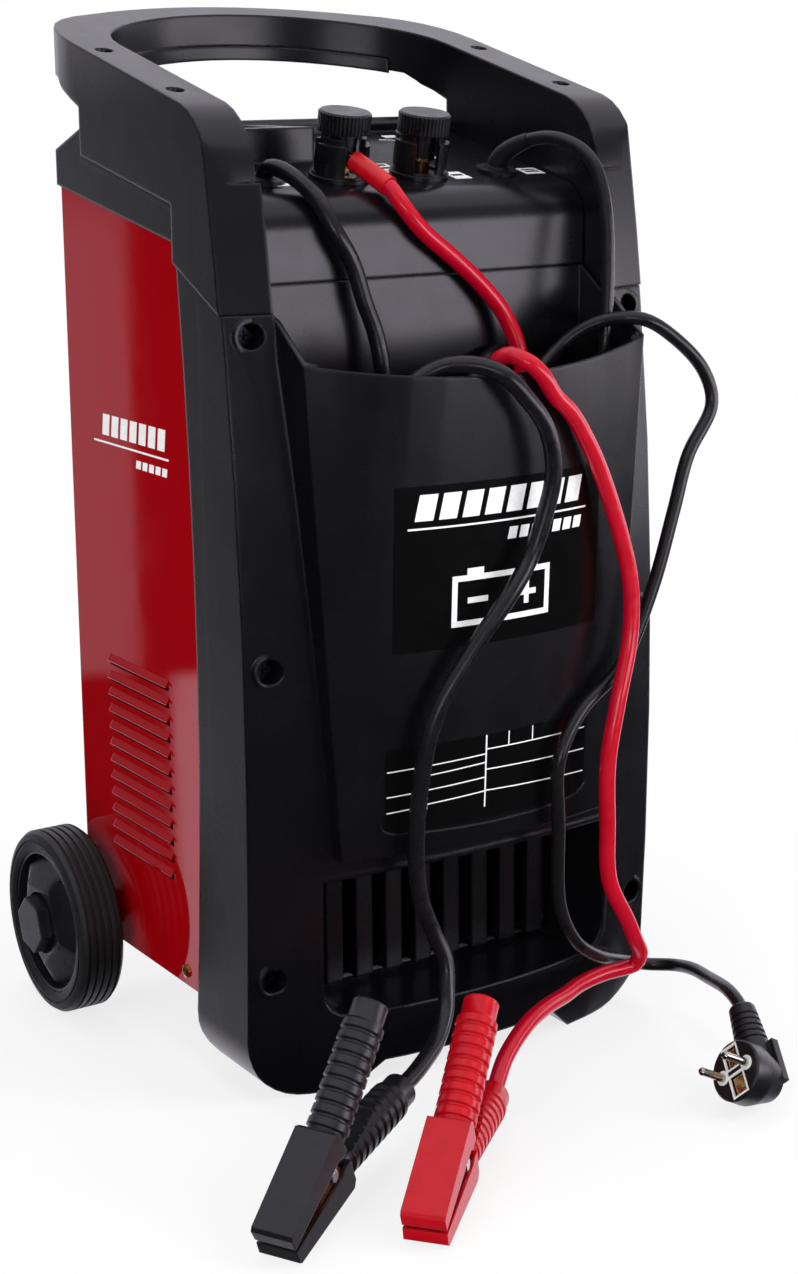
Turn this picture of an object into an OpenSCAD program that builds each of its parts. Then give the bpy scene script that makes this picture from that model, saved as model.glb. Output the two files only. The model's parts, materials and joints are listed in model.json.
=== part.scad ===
// Wheeled battery charger and engine starter.
// Millimetres, +Z up, +X to the right of someone facing the front, +Y to the back.
// The origin is on the floor, in the middle of the body's footprint without its leads.
// A "depth" below is a distance behind the line of the front screws.

/* [Front moulding] */
// Width of the front moulding
shell_w = 291; // [285:1:300]
// Wall of the front moulding
shell_wall = 3; // [2.4:0.2:3.6]
// Radius of its lower corners, seen from the front
shell_corner = 40; // [30:1:50]
// Radius of its lower rear edge, seen from the side
shell_heel = 28; // [20:1:34]
// Plan radius of the bowed front
bow_r = 408; // [360:4:600]
// Side radius of the front above its foremost height
lean_r = 1850; // [1600:10:2600]
// Side radius of the front below its foremost height
lean_low_r = 3000; // [2400:10:4000]
// Foremost height of the front
lean_z = 225; // [180:5:260]
// Depth of the side band at its waist
band_waist = 61; // [58:1:66]
// Height of the notch between the front feet
foot_notch = 16; // [12:1:24]
// Half width of the notch between the front feet
foot_in = 62; // [50:1:75]
// Height of the crease where the front turns under
crease_z = 26; // [22:1:34]
// Height of the seam between the front moulding and the handle
seam_z = 462; // [456:1:466]

/* [Cable pocket] */
// Half width of the pocket at its rim
pocket_top_half = 117.6; // [112:0.2:119]
// Half width of the pocket at its bottom
pocket_low_half = 98; // [90:1:104]
// Height of the rim at the pocket's corners
pocket_rim_z = 437; // [425:1:445]
// Dip of the rim in the middle
pocket_dip = 11; // [5:1:18]
// Height of the pocket's underside
pocket_low_z = 150; // [149:1:170]
// How far the rim stands forward in the middle
pocket_top_bulge = 47; // [40:1:55]
// How far the underside stands forward in the middle
pocket_low_bulge = 31; // [28:1:40]
// How far the pocket's corners stand forward
pocket_corner = 19; // [16:1:24]
// Depth of the back wall's front face
cowl_depth = 40; // [36:1:44]

/* [Vent] */
// Half width of the vent's mouth
vent_half = 112; // [100:1:114]
// Height of the vent's sill
vent_low_z = 51; // [46:1:56]
// Height of the vent's mouth
vent_h = 95; // [80:1:97]
// Depth of the fins' front faces
fin_depth = 30; // [26:1:34]
// Width of a fin
fin_w = 11.5; // [8:0.5:13]
// Pitch of the fins
fin_pitch = 21.2; // [20:0.1:22]
// Number of fins
fin_count = 8; // [4:1:8]
// Width of a slot beside a fin
slot_w = 5.5; // [3:0.5:7]

/* [Steel housing] */
// Outside width of the steel housing
steel_w = 288; // [282:1:288.4]
// Sheet thickness
steel_t = 1.2; // [0.8:0.1:1.5]
// Depth of the steel housing's rear face
steel_rear = 224; // [220:1:235]
// Height of the steel housing's lower edge
steel_low_z = 50; // [46:1:54]
// Number of louvres in a side
louvre_count = 12; // [6:1:12]
// Pitch of the louvres
louvre_pitch = 10.8; // [9:0.1:10.9]
// Length of a louvre
louvre_len = 79; // [60:1:84]
// Depth of the front end of a louvre
louvre_depth = 100.5; // [95:0.5:104]
// Height of the lowest louvre
louvre_low_z = 113; // [105:1:114]
// How far a louvre is pressed outwards
louvre_out = 2.2; // [1:0.1:2.4]
// Thickness of the base plate
base_t = 1.5; // [1:0.1:2]

/* [Top cover] */
// Slope of the control deck in degrees
deck_tilt = 12; // [9:0.5:14]
// Height of the deck at its front edge
deck_front_z = 526; // [520:1:530]
// Depth of the deck's front edge
deck_front = 61; // [58:1:64]
// Depth of the cover's rear face
cover_rear = 227; // [226:0.5:240]
// Height of the flat top of the meter block
meter_top_z = 559.5; // [558:0.5:564]
// Half spacing of the two terminals
terminal_x = 28; // [27:1:34]
// Depth of the terminals and the cable glands
terminal_depth = 82.5; // [78:0.5:90]
// Distance of each cable gland from the middle
gland_x = 82; // [76:1:86]

/* [Handle] */
// Outside width of the handle
handle_w = 294; // [290:1:298]
// Thickness of a handle arm
arm_t = 29; // [26:1:29.5]
// Slope of the handle's top in degrees
handle_tilt = 14.4; // [12:0.1:16]
// Depth of the back of the crossbar
bar_rear = 288; // [280:1:300]
// Width of the crossbar in the middle
bar_w = 21; // [18:1:26]
// Height of the crossbar
bar_h = 29; // [24:1:34]
// Wall of the handle arms
handle_wall = 3.5; // [3:0.1:4.5]

/* [Wheels] */
// Outside diameter of a tyre
tyre_d = 118; // [100:1:120]
// Width of a tyre
tyre_w = 30; // [24:1:32]
// From the axle back to the steel housing's rear face
axle_inset = 12; // [8:1:18]
// Diameter of the axle
axle_d = 10; // [8:0.5:12]
// Running gap between a wheel's bore and the axle, on the radius
axle_gap = 0.06; // [0.03:0.01:0.1]
// Gap between a tyre and the steel housing's side
wheel_gap = 8.5; // [2:0.5:12]
// How far the hub's dome stands out past the tyre
dome_out = 2; // [0:0.5:6]
// How far the six-sided key on the hub cap stands out past the dome
key_out = 8; // [2:0.5:10]

/* [Terminals] */
// Diameter of a terminal cap
cap_d = 31.5; // [28:0.5:34]
// Height of a terminal cap's knurled head
cap_h = 12; // [10:0.5:16]
// Diameter of a terminal stud
stud_d = 8; // [6:0.5:10]
// Flutes round a terminal cap
cap_flutes = 40; // [20:2:48]

/* [Leads] */
// Diameter of a charging lead
lead_d = 10; // [8:0.5:10]
// Diameter of the mains cord
mains_d = 8.2; // [6:0.1:8.2]

/* [Clamps] */
// Angle between the two halves of a closed clamp
clamp_spread = 9.4; // [8.6:0.2:10.4]
// How far a clamp opens in degrees
clamp_travel = 26; // [18:1:26]
// Distance from the jaw's tip to the hinge pin
clamp_pivot = 47.4; // [46:0.2:49]
// Width of a clamp's jaw cover
clamp_w = 24.2; // [23.8:0.2:27]
// Diameter of a clamp's hinge pin
clamp_pin_d = 5; // [4:0.1:5.2]
// Length of a clamp's grip
grip_len = 78; // [70:1:84]
// Diameter of a clamp's grip
grip_d = 23.6; // [22:0.2:24]
// Angle of a grip to its jaw cover
grip_splay = 15; // [14:0.5:17]

/* [Hidden] */
$fn = 48;
bow_steps = 12;
eps = 0.01;
fit_gap = 0.3;
running_gap = 0.06;

// Overall depth of the body and where its front line falls
body_front = -pocket_top_bulge;
front_y = -(bar_rear + body_front)/2;

// Colours
black_plastic = [0.07, 0.07, 0.08];
dark_plastic = [0.04, 0.04, 0.045];
red_paint = [0.62, 0.02, 0.06];
bright_red = [0.85, 0.05, 0.08];
steel = [0.62, 0.63, 0.65];
brass = [0.80, 0.62, 0.28];
copper = [0.75, 0.40, 0.22];
rubber = [0.09, 0.09, 0.095];
white = [0.92, 0.92, 0.90];

// Front screws
front_screw_x = 131;
front_screw_z = [78, 263.6, 450.6];
front_screw_head_d = 9;
front_screw_head_h = 4;
front_screw_d = 4.5;
front_bore_d = 14.4;
front_bore_depth = 13;
front_boss_d = 20;

// Derived sizes of the front moulding
shell_half = shell_w/2;
band_curve = 4325;
rebate_half = steel_w/2 + 0.25;
rebate_depth = 48;
flange_depth = rebate_depth + 2;
strip_rise = 0.484;
strip_depth = 21.5;
arm_rear_depth = 74;
arm_foot_z = seam_at(arm_rear_depth);
band_end_z = seam_at(band_edge(arm_foot_z));
turn_under = 7;
cowl_seam_z = 475;
pocket_slope = (pocket_top_half - pocket_low_half)/(pocket_rim_z - pocket_low_z);
wall_rim_z = pocket_rim_z + 22;

// Cover band over the steel housing
band_low_z = 498.8;
band_low_slope = 0.18;
band_top_z = 520.2;
band_top_slope = 0.2087;
steel_tuck = 8;

// Handle
handle_half = handle_w/2;
arm_in = handle_half - arm_t;
arm_notch_depth = 189;
handle_ref_depth = 87.1;
handle_ref_z = 582.5;
handle_screw_x = 135;
handle_screw_depth = [87.1, 176.2];
handle_screw_len = 75;
handle_screw_d = 4.6;
handle_screw_head_d = 9.6;
handle_screw_sink = 4;
grip_h = 9;

// Wheels
axle_z = tyre_d/2;
hub_d = tyre_d - 26;
tyre_grooves = 5;
wheel_in = steel_w/2 + wheel_gap;
wheel_out = wheel_in + tyre_w;
dome_top = tyre_w + dome_out;
axle_depth = steel_rear - axle_inset;
hub_cap_d = 40;

// Terminals, measured up from the deck
nut_h = 10;
lug_t = 2;
washer_t = 1.5;
guard_d = 33;
guard_bore = 22.5;
guard_h = 21.5;
cap_seat = guard_h + 6.5;
collar_d = guard_d - 5;
terminal_shift = -3;
cap_stem_d = 17;
cap_lift = 6;
cap_pitch = 1.25;

// Meter and controls
meter_x = -67;
meter_half = 43;
meter_depth = [122, 206];
meter_window = [58, 44];
meter_mid = 160;
needle_pivot = 143;
needle_len = 27;
needle_rest = 38;
selector_x = 76;
selector_depth = 156;
selector_d = 34;
fuse_x = 15;
fuse_depth = 160;

// Leads
cord_gap = 0.4;
lug_turn = -86;
sleeve_from = [-30, -54, 541];

// Routes of the leads and the cord: round figures along the lie of each one
black_route = [
    [-82, -38.6, 533.5], [-82, -42, 537.5], [-81.6, -48, 538.8], [-79, -58, 536.5], [-72, -79, 523],
    [-65, -88, 504], [-54, -89, 485], [-48, -91, 464], [-42, -93, 446], [-39, -95, 427],
    [-38, -97, 385], [-46, -106, 330], [-66, -118, 306], [-84, -132, 340], [-78, -143, 385],
    [-58, -148, 418], [-40, -154, 431], [-24, -167, 433], [-12, -176, 428], [3, -179, 413],
    [16, -179, 396], [23, -177, 370], [18, -174, 342], [11, -172, 322], [-3, -173, 303],
    [-28, -169, 271], [-50, -164, 234], [-58, -158, 180], [-56, -155, 130], [-46, -154, 103],
    [-39, -157, 84], [-41, -161, 70], [-46, -167, 57], [-59, -177, 46], [-76, -189, 42],
    [-90, -198, 40], [-101, -204, 39], [-108, -208, 38]];
red_route = [
    [-26, -66, 534], [-22, -78, 527], [-17, -85, 516], [-5, -88, 501], [18, -88, 483],
    [36, -89, 467], [50, -91, 450], [58, -96, 426], [59, -98, 380], [42, -100, 324],
    [12, -112, 316], [-8, -126, 342],
    [-9, -140, 392], [2, -158, 435], [9, -169, 433], [18, -172, 425],
    [28, -171, 412], [41, -169, 401], [55, -167, 382], [67, -165, 361], [84, -163, 320],
    [91, -163, 292], [90, -164, 262], [79, -167, 224], [72, -167, 188], [76, -162, 148],
    [81, -158, 109], [98, -155, 78], [107, -152, 62], [115, -147, 50], [115, -142, 41],
    [105, -141, 40], [89, -143, 41], [65, -150, 42], [48, -158, 42], [24, -170, 44],
    [0, -183, 43], [-25, -197, 34], [-42, -209, 21], [-48, -214, 21]];
mains_route = [
    [82, -39, 535], [84, -44.5, 542], [91, -60, 550], [99, -79, 551], [107, -98, 541],
    [111, -108, 518], [107, -117, 452], [88, -120, 345], [50, -120, 318], [16, -112, 360],
    [22, -98, 412], [53, -85, 427], [71, -91, 405], [72, -106, 372], [50, -113, 345],
    [30, -112, 375], [79, -107, 429], [98, -120, 444], [117, -137, 446.5],
    [140, -141, 433.5], [162, -143, 411.5], [166.5, -145, 392], [145, -149, 363],
    [133, -151, 331], [116, -152, 284], [92, -153, 241], [58, -158, 219], [41, -160, 193],
    [43, -157, 150],
    [48, -152, 98], [60, -150, 73], [84, -140, 54], [118, -125, 37],
    [140, -124, 29], [151, -136, 30], [149, -156, 35], [142, -180, 39], [127, -218, 46],
    [121, -235, 43], [118, -242, 38]];

// Length of a lead's end inside its sleeve and inside a grip
sleeve_start = norm(red_route[0] - sleeve_from);
lead_bore = 8.3;
cord_bore = 9.3;

// Where the clamps and the plug lie
clamp_place = [[-220.4, -270.2, 9.7], [-148.6, -298.4, 10]];
clamp_yaw = [29, 40];
clamp_rise = [22.2, 14.6];
plug_place = [84.6, -270.9, 26.6];
plug_turn = [51, -27.5, -183];

// ---------------------------------------------------------------- shared shapes

// Depth of the bowed, leaning front at a place on it
function lean(z) = pow(z - lean_z, 2)/(2*(z > lean_z ? lean_r : lean_low_r));
function bow(x) = (x*x - front_screw_x*front_screw_x)/(2*bow_r);
function face(x, z) = lean(z) + bow(x);
// Depth of the side band's rear edge
function band_edge(z) = band_waist + pow(z - 265, 2)/band_curve;
// Height of the slanted seam under a handle arm
function seam_at(depth) = seam_z + (depth - strip_depth)*strip_rise;
// Height of the deck at a depth
function deck_z(depth) = deck_front_z + (depth - deck_front)*tan(deck_tilt);
// Height of the handle's top at a depth
function handle_z(depth) = handle_ref_z + (depth - handle_ref_depth)*tan(handle_tilt);
// Points of an arc
function arc(cx, cy, r, from, to, steps) =
    [for (i = [0:steps]) let (a = from + (to - from)*i/steps) [cx + r*cos(a), cy + r*sin(a)]];

// Everything measured by depth is moved to its place with this
module behind_front() translate([0, front_y, 0]) children();

// An outline in depth and height, carried across the width between two places
module across(x0, x1) translate([x0, 0, 0]) rotate([90, 0, 90]) linear_extrude(height = x1 - x0) children();

// An outline in width and height, carried through a range of depths
module through(d0, d1) translate([0, d1, 0]) rotate([90, 0, 0]) linear_extrude(height = d1 - d0) children();

// One horizontal slice of the bowed front
module bow_slice(z, half, inset, rear) {
    xs = [for (i = [0:bow_steps]) half*(2*i/bow_steps - 1)];
    translate([0, 0, z]) linear_extrude(height = eps)
        polygon(concat([for (x = xs) [x, face(x, z) + inset]], [[half, rear], [-half, rear]]));
}

// The space behind the bowed front, between two heights
module bowed_block(half, inset, rear, low, high, steps) {
    foot = max(low, crease_z);
    hull() {
        bow_slice(low, half, inset + (low < crease_z ? turn_under : 0), rear);
        for (i = [0:steps]) bow_slice(foot + (high - foot)*i/steps, half, inset, rear);
    }
}

module mirrored() {
    children();
    mirror([1, 0, 0]) children();
}

// ---------------------------------------------------------------- front moulding

// Front outline, with round lower corners and the notch between the feet
module front_outline(inset) {
    half = shell_half - inset;
    r = shell_corner - inset;
    notch = foot_notch + inset;
    polygon(concat(
        [[-half, 520]], arc(-half + r, inset + r, r, 180, 270, 8),
        [[-foot_in - 18, inset], [-foot_in, notch], [foot_in, notch], [foot_in + 18, inset]],
        arc(half - r, inset + r, r, 270, 360, 8), [[half, 520]]));
}

// Side outline, with the heel, the waisted rear edge and the seam under the handle
module side_outline(inset) {
    heel = shell_heel - inset;
    low = inset + heel;
    zs = [for (i = [0:8]) shell_heel + (band_end_z - shell_heel)*i/8];
    top = inset > 0 ? 60 : 0;
    polygon(concat(
        [[-60, seam_z + top], [-60, inset]],
        arc(band_edge(shell_heel) - shell_heel, low, heel, -90, 0, 6),
        [for (z = zs) [band_edge(z) + inset*8, z]],
        [[band_edge(band_end_z) + inset*8, band_end_z + top + eps]],
        inset > 0 ? [] : [[strip_depth, seam_z]]));
}

function pocket_half(z) = pocket_low_half + (z - pocket_low_z)*pocket_slope;
function pocket_middle(z) = -pocket_low_bulge
    - (pocket_top_bulge - pocket_low_bulge)*(z - pocket_low_z)/(pocket_rim_z - pocket_low_z);

// One horizontal slice of the pocket
module pocket_slice(z, inset, rear) {
    half = pocket_half(min(z, pocket_rim_z)) - inset;
    middle = pocket_middle(min(z, pocket_rim_z)) + inset;
    corner = -pocket_corner + inset;
    ts = [for (i = [0:bow_steps]) 2*i/bow_steps - 1];
    translate([0, 0, z]) linear_extrude(height = eps)
        polygon(concat([for (t = ts) [half*t, middle + (corner - middle)*t*t]],
            [[half, rear], [-half, rear]]));
}

module pocket_block(inset, low, rear) {
    hull() {
        pocket_slice(low, inset, rear);
        pocket_slice(pocket_rim_z, inset, rear);
    }
    translate([0, 0, pocket_rim_z]) linear_extrude(height = cowl_seam_z - pocket_rim_z + (inset > 0 ? 40 : 0))
        projection_of_slice(inset, rear);
}

module projection_of_slice(inset, rear) {
    half = pocket_top_half - inset;
    middle = -pocket_top_bulge + inset;
    corner = -pocket_corner + inset;
    ts = [for (i = [0:bow_steps]) 2*i/bow_steps - 1];
    polygon(concat([for (t = ts) [half*t, middle + (corner - middle)*t*t]], [[half, rear], [-half, rear]]));
}

// What is cut away above the pocket's rim
module rim_cut() {
    across(-pocket_top_half - eps, pocket_top_half + eps)
        polygon([[-80, pocket_rim_z], [-pocket_corner, pocket_rim_z],
            [face(pocket_top_half, wall_rim_z), wall_rim_z], [strip_depth, seam_z],
            [cowl_depth, cowl_seam_z], [cowl_depth, 540], [-80, 540]]);
    dip_r = (pow(pocket_top_half, 2) + pow(pocket_dip, 2))/(2*pocket_dip);
    intersection() {
        translate([0, 0, pocket_rim_z - pocket_dip + dip_r]) rotate([90, 0, 0])
            cylinder(r = dip_r, h = 80, $fn = 240);
        translate([-pocket_top_half, -80, pocket_rim_z - 20])
            cube([2*pocket_top_half, 80 - pocket_corner, 30]);
    }
}

// The vent's tapering recess; grow widens it by the wall
module vent_recess(grow) {
    back = fin_depth + 10;
    hull() {
        through(-60, -59) vent_outline(vent_half + 8 + grow, vent_low_z - 2 - grow, vent_h + 3 + 2*grow, 26);
        through(back + grow - 1, back + grow)
            vent_outline(fin_pitch*(fin_count - 1)/2 + 14 + grow,
                vent_low_z + 1 - grow, vent_h - 22 + 2*grow, 8);
    }
}

// A rectangle whose two lower corners are round
module vent_outline(half, low, high, r) {
    polygon(concat([[-half, low + high]], arc(-half + r, low + r, r, 180, 270, 4),
        arc(half - r, low + r, r, 270, 360, 4), [[half, low + high]]));
}

module front_screw_places() {
    for (z = front_screw_z) mirrored()
        translate([front_screw_x, face(front_screw_x, z), z]) rotate([-90, 0, 0])
        children();
}

module front_shell() color(black_plastic) behind_front() {
    fin_h = vent_h - 28;
    difference() {
        union() {
            difference() {
                shell_solid(0);
                shell_solid(shell_wall);
                translate([-rebate_half, rebate_depth, steel_low_z - 1.5]) cube([2*rebate_half, 60, 480]);
            }
            pocket_block(0, pocket_low_z, cowl_depth + shell_wall);
            intersection() {
                vent_recess(shell_wall);
                bowed_block(shell_half, eps, cowl_depth + shell_wall + 1, 30, pocket_low_z + 4, 2);
            }
            for (z = front_screw_z) mirrored() translate([front_screw_x, face(front_screw_x, z) + 1, z])
                rotate([-90, 0, 0]) cylinder(d = front_boss_d, h = flange_depth - face(front_screw_x, z) - 1);
        }
        pocket_block(shell_wall, pocket_low_z + shell_wall, cowl_depth);
        rim_cut();
        vent_recess(0);
        front_screw_places() {
            translate([0, 0, -20]) cylinder(d = front_bore_d, h = 20 + front_bore_depth);
            cylinder(d = front_screw_d + 0.2, h = 80);
        }
        for (i = [0:fin_count - 1]) translate([fin_place(i) - slot_w, fin_depth + 5, vent_low_z + 4])
            cube([slot_w, 20, fin_h]);
    }
    for (i = [0:fin_count - 1]) translate([fin_place(i), fin_depth, vent_low_z + 4])
        cube([fin_w, 10 + eps, fin_h]);
}

function fin_place(i) = (i - (fin_count - 1)/2)*fin_pitch - fin_w/2;

// The outer skin of the front moulding, or its inside
module shell_solid(inset) {
    intersection() {
        bowed_block(shell_half - inset, inset, 96, inset == 0 ? -1 : -2, 540, 6);
        across(-shell_half - 1, shell_half + 1) side_outline(inset);
        through(-80, 110) front_outline(inset);
    }
}

module front_screws() color(steel) behind_front() front_screw_places() {
    translate([0, 0, front_bore_depth - front_screw_head_h]) difference() {
        cylinder(d = front_screw_head_d, h = front_screw_head_h);
        translate([0, 0, -1]) cross_recess(front_screw_head_d*0.6, 3);
    }
    translate([0, 0, front_bore_depth]) cylinder(d = front_screw_d, h = 44);
}

module cross_recess(size, deep) {
    for (a = [0, 90]) rotate(a) translate([-size/2, -size/10, 0]) cube([size, size/5, deep]);
}

// ---------------------------------------------------------------- steel housing

function steel_top(depth) = band_low_z + (depth - 76.9)*band_low_slope + steel_tuck;

module steel_outline() {
    step = arm_rear_depth + fit_gap;
    polygon([[flange_depth, steel_low_z], [steel_rear, steel_low_z], [steel_rear, steel_top(steel_rear)],
        [step, steel_top(step)], [step, seam_at(step) - 1], [flange_depth, seam_at(flange_depth) - 1]]);
}

module steel_housing() color(red_paint) behind_front() {
    half = steel_w/2;
    difference() {
        across(-half, half) steel_outline();
        difference() {
            across(-half + steel_t, half - steel_t)
                polygon([[0, 0], [steel_rear - steel_t, 0], [steel_rear - steel_t, 600], [0, 600]]);
            mirrored() translate([front_screw_x - 10, flange_depth, steel_low_z + 6])
                cube([40, steel_t, seam_z - steel_low_z - 12]);
        }
        for (i = [0:louvre_count - 1]) translate([-half - 5, louvre_depth, louvre_low_z + i*louvre_pitch])
            cube([steel_w + 10, louvre_len, louvre_pitch*0.42]);
        for (z = front_screw_z) mirrored() translate([front_screw_x, 0, z]) rotate([-90, 0, 0])
            cylinder(d = front_screw_d + 0.5, h = 80);
        translate([-half - 1, axle_depth, axle_z]) rotate([0, 90, 0])
            cylinder(d = axle_d + 3, h = steel_w + 2);
        side_screw_places() cylinder(d = side_screw_d + 0.1, h = 8, center = true);
        for (i = [0:8]) translate([-45, steel_rear - 4, fan_z - 36 + i*8]) cube([90, 8, 3.6]);
    }
    for (i = [0:louvre_count - 1]) mirrored()
        translate([half, louvre_depth, louvre_low_z + i*louvre_pitch]) louvre();
}

// A pressed hood over one slot, open at its lower edge
module louvre() {
    h = louvre_pitch*0.42;
    translate([0, louvre_len, 0]) rotate([90, 0, 0]) linear_extrude(height = louvre_len) polygon([
        [-steel_t, h], [0, h], [0, h + 2.4],
        [louvre_out, h - 1], [louvre_out, h - 2], [louvre_out - 0.8, h - 1.4],
        [-0.4, h - 0.2], [-steel_t, h - 0.2]]);
}

side_screw_d = 4;
screw_from_axle = 16;
side_screw_depth = [88, axle_depth - screw_from_axle];
side_screw_z = steel_low_z + 9;

// Each place has its Z axis pointing out of the housing's side
module side_screw_places() {
    for (d = side_screw_depth) mirrored()
        translate([steel_w/2, d, side_screw_z]) rotate([0, 90, 0]) children();
}

module housing_screws() color(brass) behind_front() side_screw_places() {
    difference() {
        intersection() {
            translate([0, 0, -5]) sphere(r = 7.4);
            cylinder(d = 8, h = 3);
        }
        translate([0, 0, 1.6]) cross_recess(4.4, 3);
    }
    translate([0, 0, -7]) cylinder(d = side_screw_d, h = 7);
}

module base_plate() color(steel) behind_front() {
    half = steel_w/2 - steel_t - 0.15;
    rear = steel_rear - steel_t - 0.2;
    difference() {
        translate([-half, flange_depth + 2, steel_low_z]) cube([2*half, rear - flange_depth - 2, 24]);
        translate([-half + base_t, 0, steel_low_z + base_t]) cube([2*(half - base_t), 400, 60]);
        translate([-half - 1, axle_depth, axle_z]) rotate([0, 90, 0])
            cylinder(d = axle_d + 2, h = 2*half + 2);
        side_screw_places() cylinder(d = side_screw_d, h = 12, center = true);
        for (x = [-40, 0, 40]) translate([x, 82, steel_low_z - 1]) cylinder(d = 16, h = 6);
    }
}

// ---------------------------------------------------------------- axle and wheels

bracket_x = 118;
bracket_t = 3;
bracket_front = 16;
bracket_rear = axle_inset - steel_t - 0.8;

module axle_brackets() color(steel) behind_front() {
    floor_z = steel_low_z + base_t;
    len = bracket_front + bracket_rear;
    mirrored() difference() {
        union() {
            translate([bracket_x, axle_depth - bracket_front, floor_z]) cube([bracket_t, len, 24]);
            translate([bracket_x - 16, axle_depth - bracket_front, floor_z]) cube([16 + bracket_t, len, 2.5]);
        }
        translate([bracket_x - 20, axle_depth, axle_z]) rotate([0, 90, 0]) cylinder(d = axle_d + 0.2, h = 40);
    }
}

axle_half = wheel_out - 9;
clip_groove = 1.2;

module axle() color(steel) behind_front() translate([0, axle_depth, axle_z]) rotate([0, 90, 0]) difference() {
    cylinder(d = axle_d, h = 2*axle_half, center = true);
    mirror_ends() translate([0, 0, axle_half - 4]) difference() {
        cylinder(d = axle_d + 2, h = clip_groove);
        translate([0, 0, -1]) cylinder(d = axle_d - 2, h = 4);
    }
}

module mirror_ends() {
    children();
    mirror([0, 0, 1]) children();
}

// Split rings in the axle's grooves
module axle_clips() color(steel) behind_front() translate([0, axle_depth, axle_z]) rotate([0, 90, 0])
    mirror_ends() translate([0, 0, axle_half - 4 + 0.1]) difference() {
        cylinder(d = axle_d + 5, h = clip_groove - 0.2);
        translate([0, 0, -1]) cylinder(d = axle_d - 1.8, h = 4);
        translate([0, -2, -1]) cube([20, 4, 4]);
    }

// A wheel's parts are drawn for the right side, along +X from the wheel's inner face
module at_wheel() behind_front() translate([wheel_in, axle_depth, axle_z]) rotate([0, 90, 0]) children();

hub_bore_len = tyre_w - 13.6;

dome_flats = 5;
flat_slope = 29;

module wheel_hub() difference() {
    dome_r = hub_d/2 - 5.5;
    ring_r = hub_cap_d/2 + 1.5;
    edge_drop = 6;
    groove_z = dome_top - 2*edge_drop;
    rotate_extrude($fn = 96) polygon([
        [0, 2], [11, 2], [11, 6], [24, 9], [hub_d/2 - 5, 5], [hub_d/2 - 5, 1], [hub_d/2, 1],
        [hub_d/2, tyre_w - 2], [hub_d/2 - 2, tyre_w - 2], [hub_d/2 - 2.5, groove_z],
        [dome_r, groove_z],
        each [for (t = [0:7.5:90]) [dome_r - (dome_r - ring_r)*(1 - cos(t)),
            dome_top - edge_drop*(1 - sin(t))]],
        [hub_cap_d/2 + 0.1, dome_top], [hub_cap_d/2 + 0.1, hub_bore_len], [0, hub_bore_len]]);
    translate([0, 0, -1]) cylinder(d = axle_d + 2*axle_gap, h = tyre_w + 2);
    // Flats sloping from the cap's rim down to the dome's edge
    intersection() {
        cylinder(r = dome_r + 0.5, h = 2*tyre_w);
        for (i = [0:dome_flats - 1]) rotate(30 + i*360/dome_flats) translate([ring_r + 1, 0, dome_top])
            rotate([0, flat_slope, 0]) translate([0, -50, 0]) cube([60, 100, 30]);
    }
}

module tyre() rotate_extrude($fn = 96) {
    r0 = hub_d/2;
    r1 = tyre_d/2;
    difference() {
        polygon([[r0, 1], [r0 + 3, 0.5], [r1 - 6, 0], [r1 - 2, 1.5], [r1, 4], [r1, tyre_w - 4],
            [r1 - 2, tyre_w - 1.2], [r1 - 6, tyre_w], [r0 + 3, tyre_w], [r0, tyre_w - 1.4]]);
        for (i = [1:tyre_grooves]) translate([r1 - 1.6, i*tyre_w/(tyre_grooves + 1) - 0.9]) square([4, 1.8]);
        translate([r1 - 7.5, tyre_w - 0.8]) square([1.6, 2]);
    }
}

// A cap pressed into the hub, with a six-sided key on it
module hub_cap() {
    z0 = hub_bore_len;
    difference() {
        union() {
            translate([0, 0, dome_top - 6]) cylinder(d = hub_cap_d, h = 3);
            difference() {
                translate([0, 0, z0]) cylinder(d = hub_cap_d, h = dome_top - 6 - z0 + eps);
                translate([0, 0, z0 - 1]) cylinder(d = hub_cap_d - 5, h = dome_top);
            }
            translate([0, 0, dome_top - 4]) rotate(-18)
                cylinder(d1 = hub_cap_d - 3, d2 = hub_cap_d - 4, h = key_out + 4, $fn = 6);
        }
        for (a = [12, 192]) rotate(a) translate([0, hub_cap_d/2 - 2, dome_top - 4])
            cylinder(d = 3, h = 4, $fn = 32);
    }
}

module left_wheel_hub() color(dark_plastic) mirror([1, 0, 0]) at_wheel() wheel_hub();
module left_tyre() color(rubber) mirror([1, 0, 0]) at_wheel() tyre();
module left_hub_cap() color(dark_plastic) mirror([1, 0, 0]) at_wheel() hub_cap();
module right_wheel_hub() color(dark_plastic) at_wheel() wheel_hub();
module right_tyre() color(rubber) at_wheel() tyre();
module right_hub_cap() color(dark_plastic) at_wheel() hub_cap();

// ---------------------------------------------------------------- top cover

shoulder_r = 22;

// The middle of the cover, from the cowl over the deck to the rear rim
module cover_middle(inset) {
    d0 = cowl_depth + inset;
    r = shoulder_r - inset;
    bend = 90 - deck_tilt;
    cz = deck_z(deck_front) - shoulder_r/cos(deck_tilt)
        - (deck_front - cowl_depth - shoulder_r)*tan(deck_tilt);
    low = inset > 0 ? cowl_seam_z - 30 : cowl_seam_z + fit_gap;
    rear = cover_rear - inset;
    drop = inset/cos(deck_tilt);
    polygon(concat([[d0, low]], arc(cowl_depth + shoulder_r, cz, r, 180, 180 - bend, 8),
        [[206, deck_z(206) - drop], [210, rim_z - inset], [rear - 6, rim_z - inset],
        [rear, rim_z - 14], [rear, low]]));
}

rim_z = 562;

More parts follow.
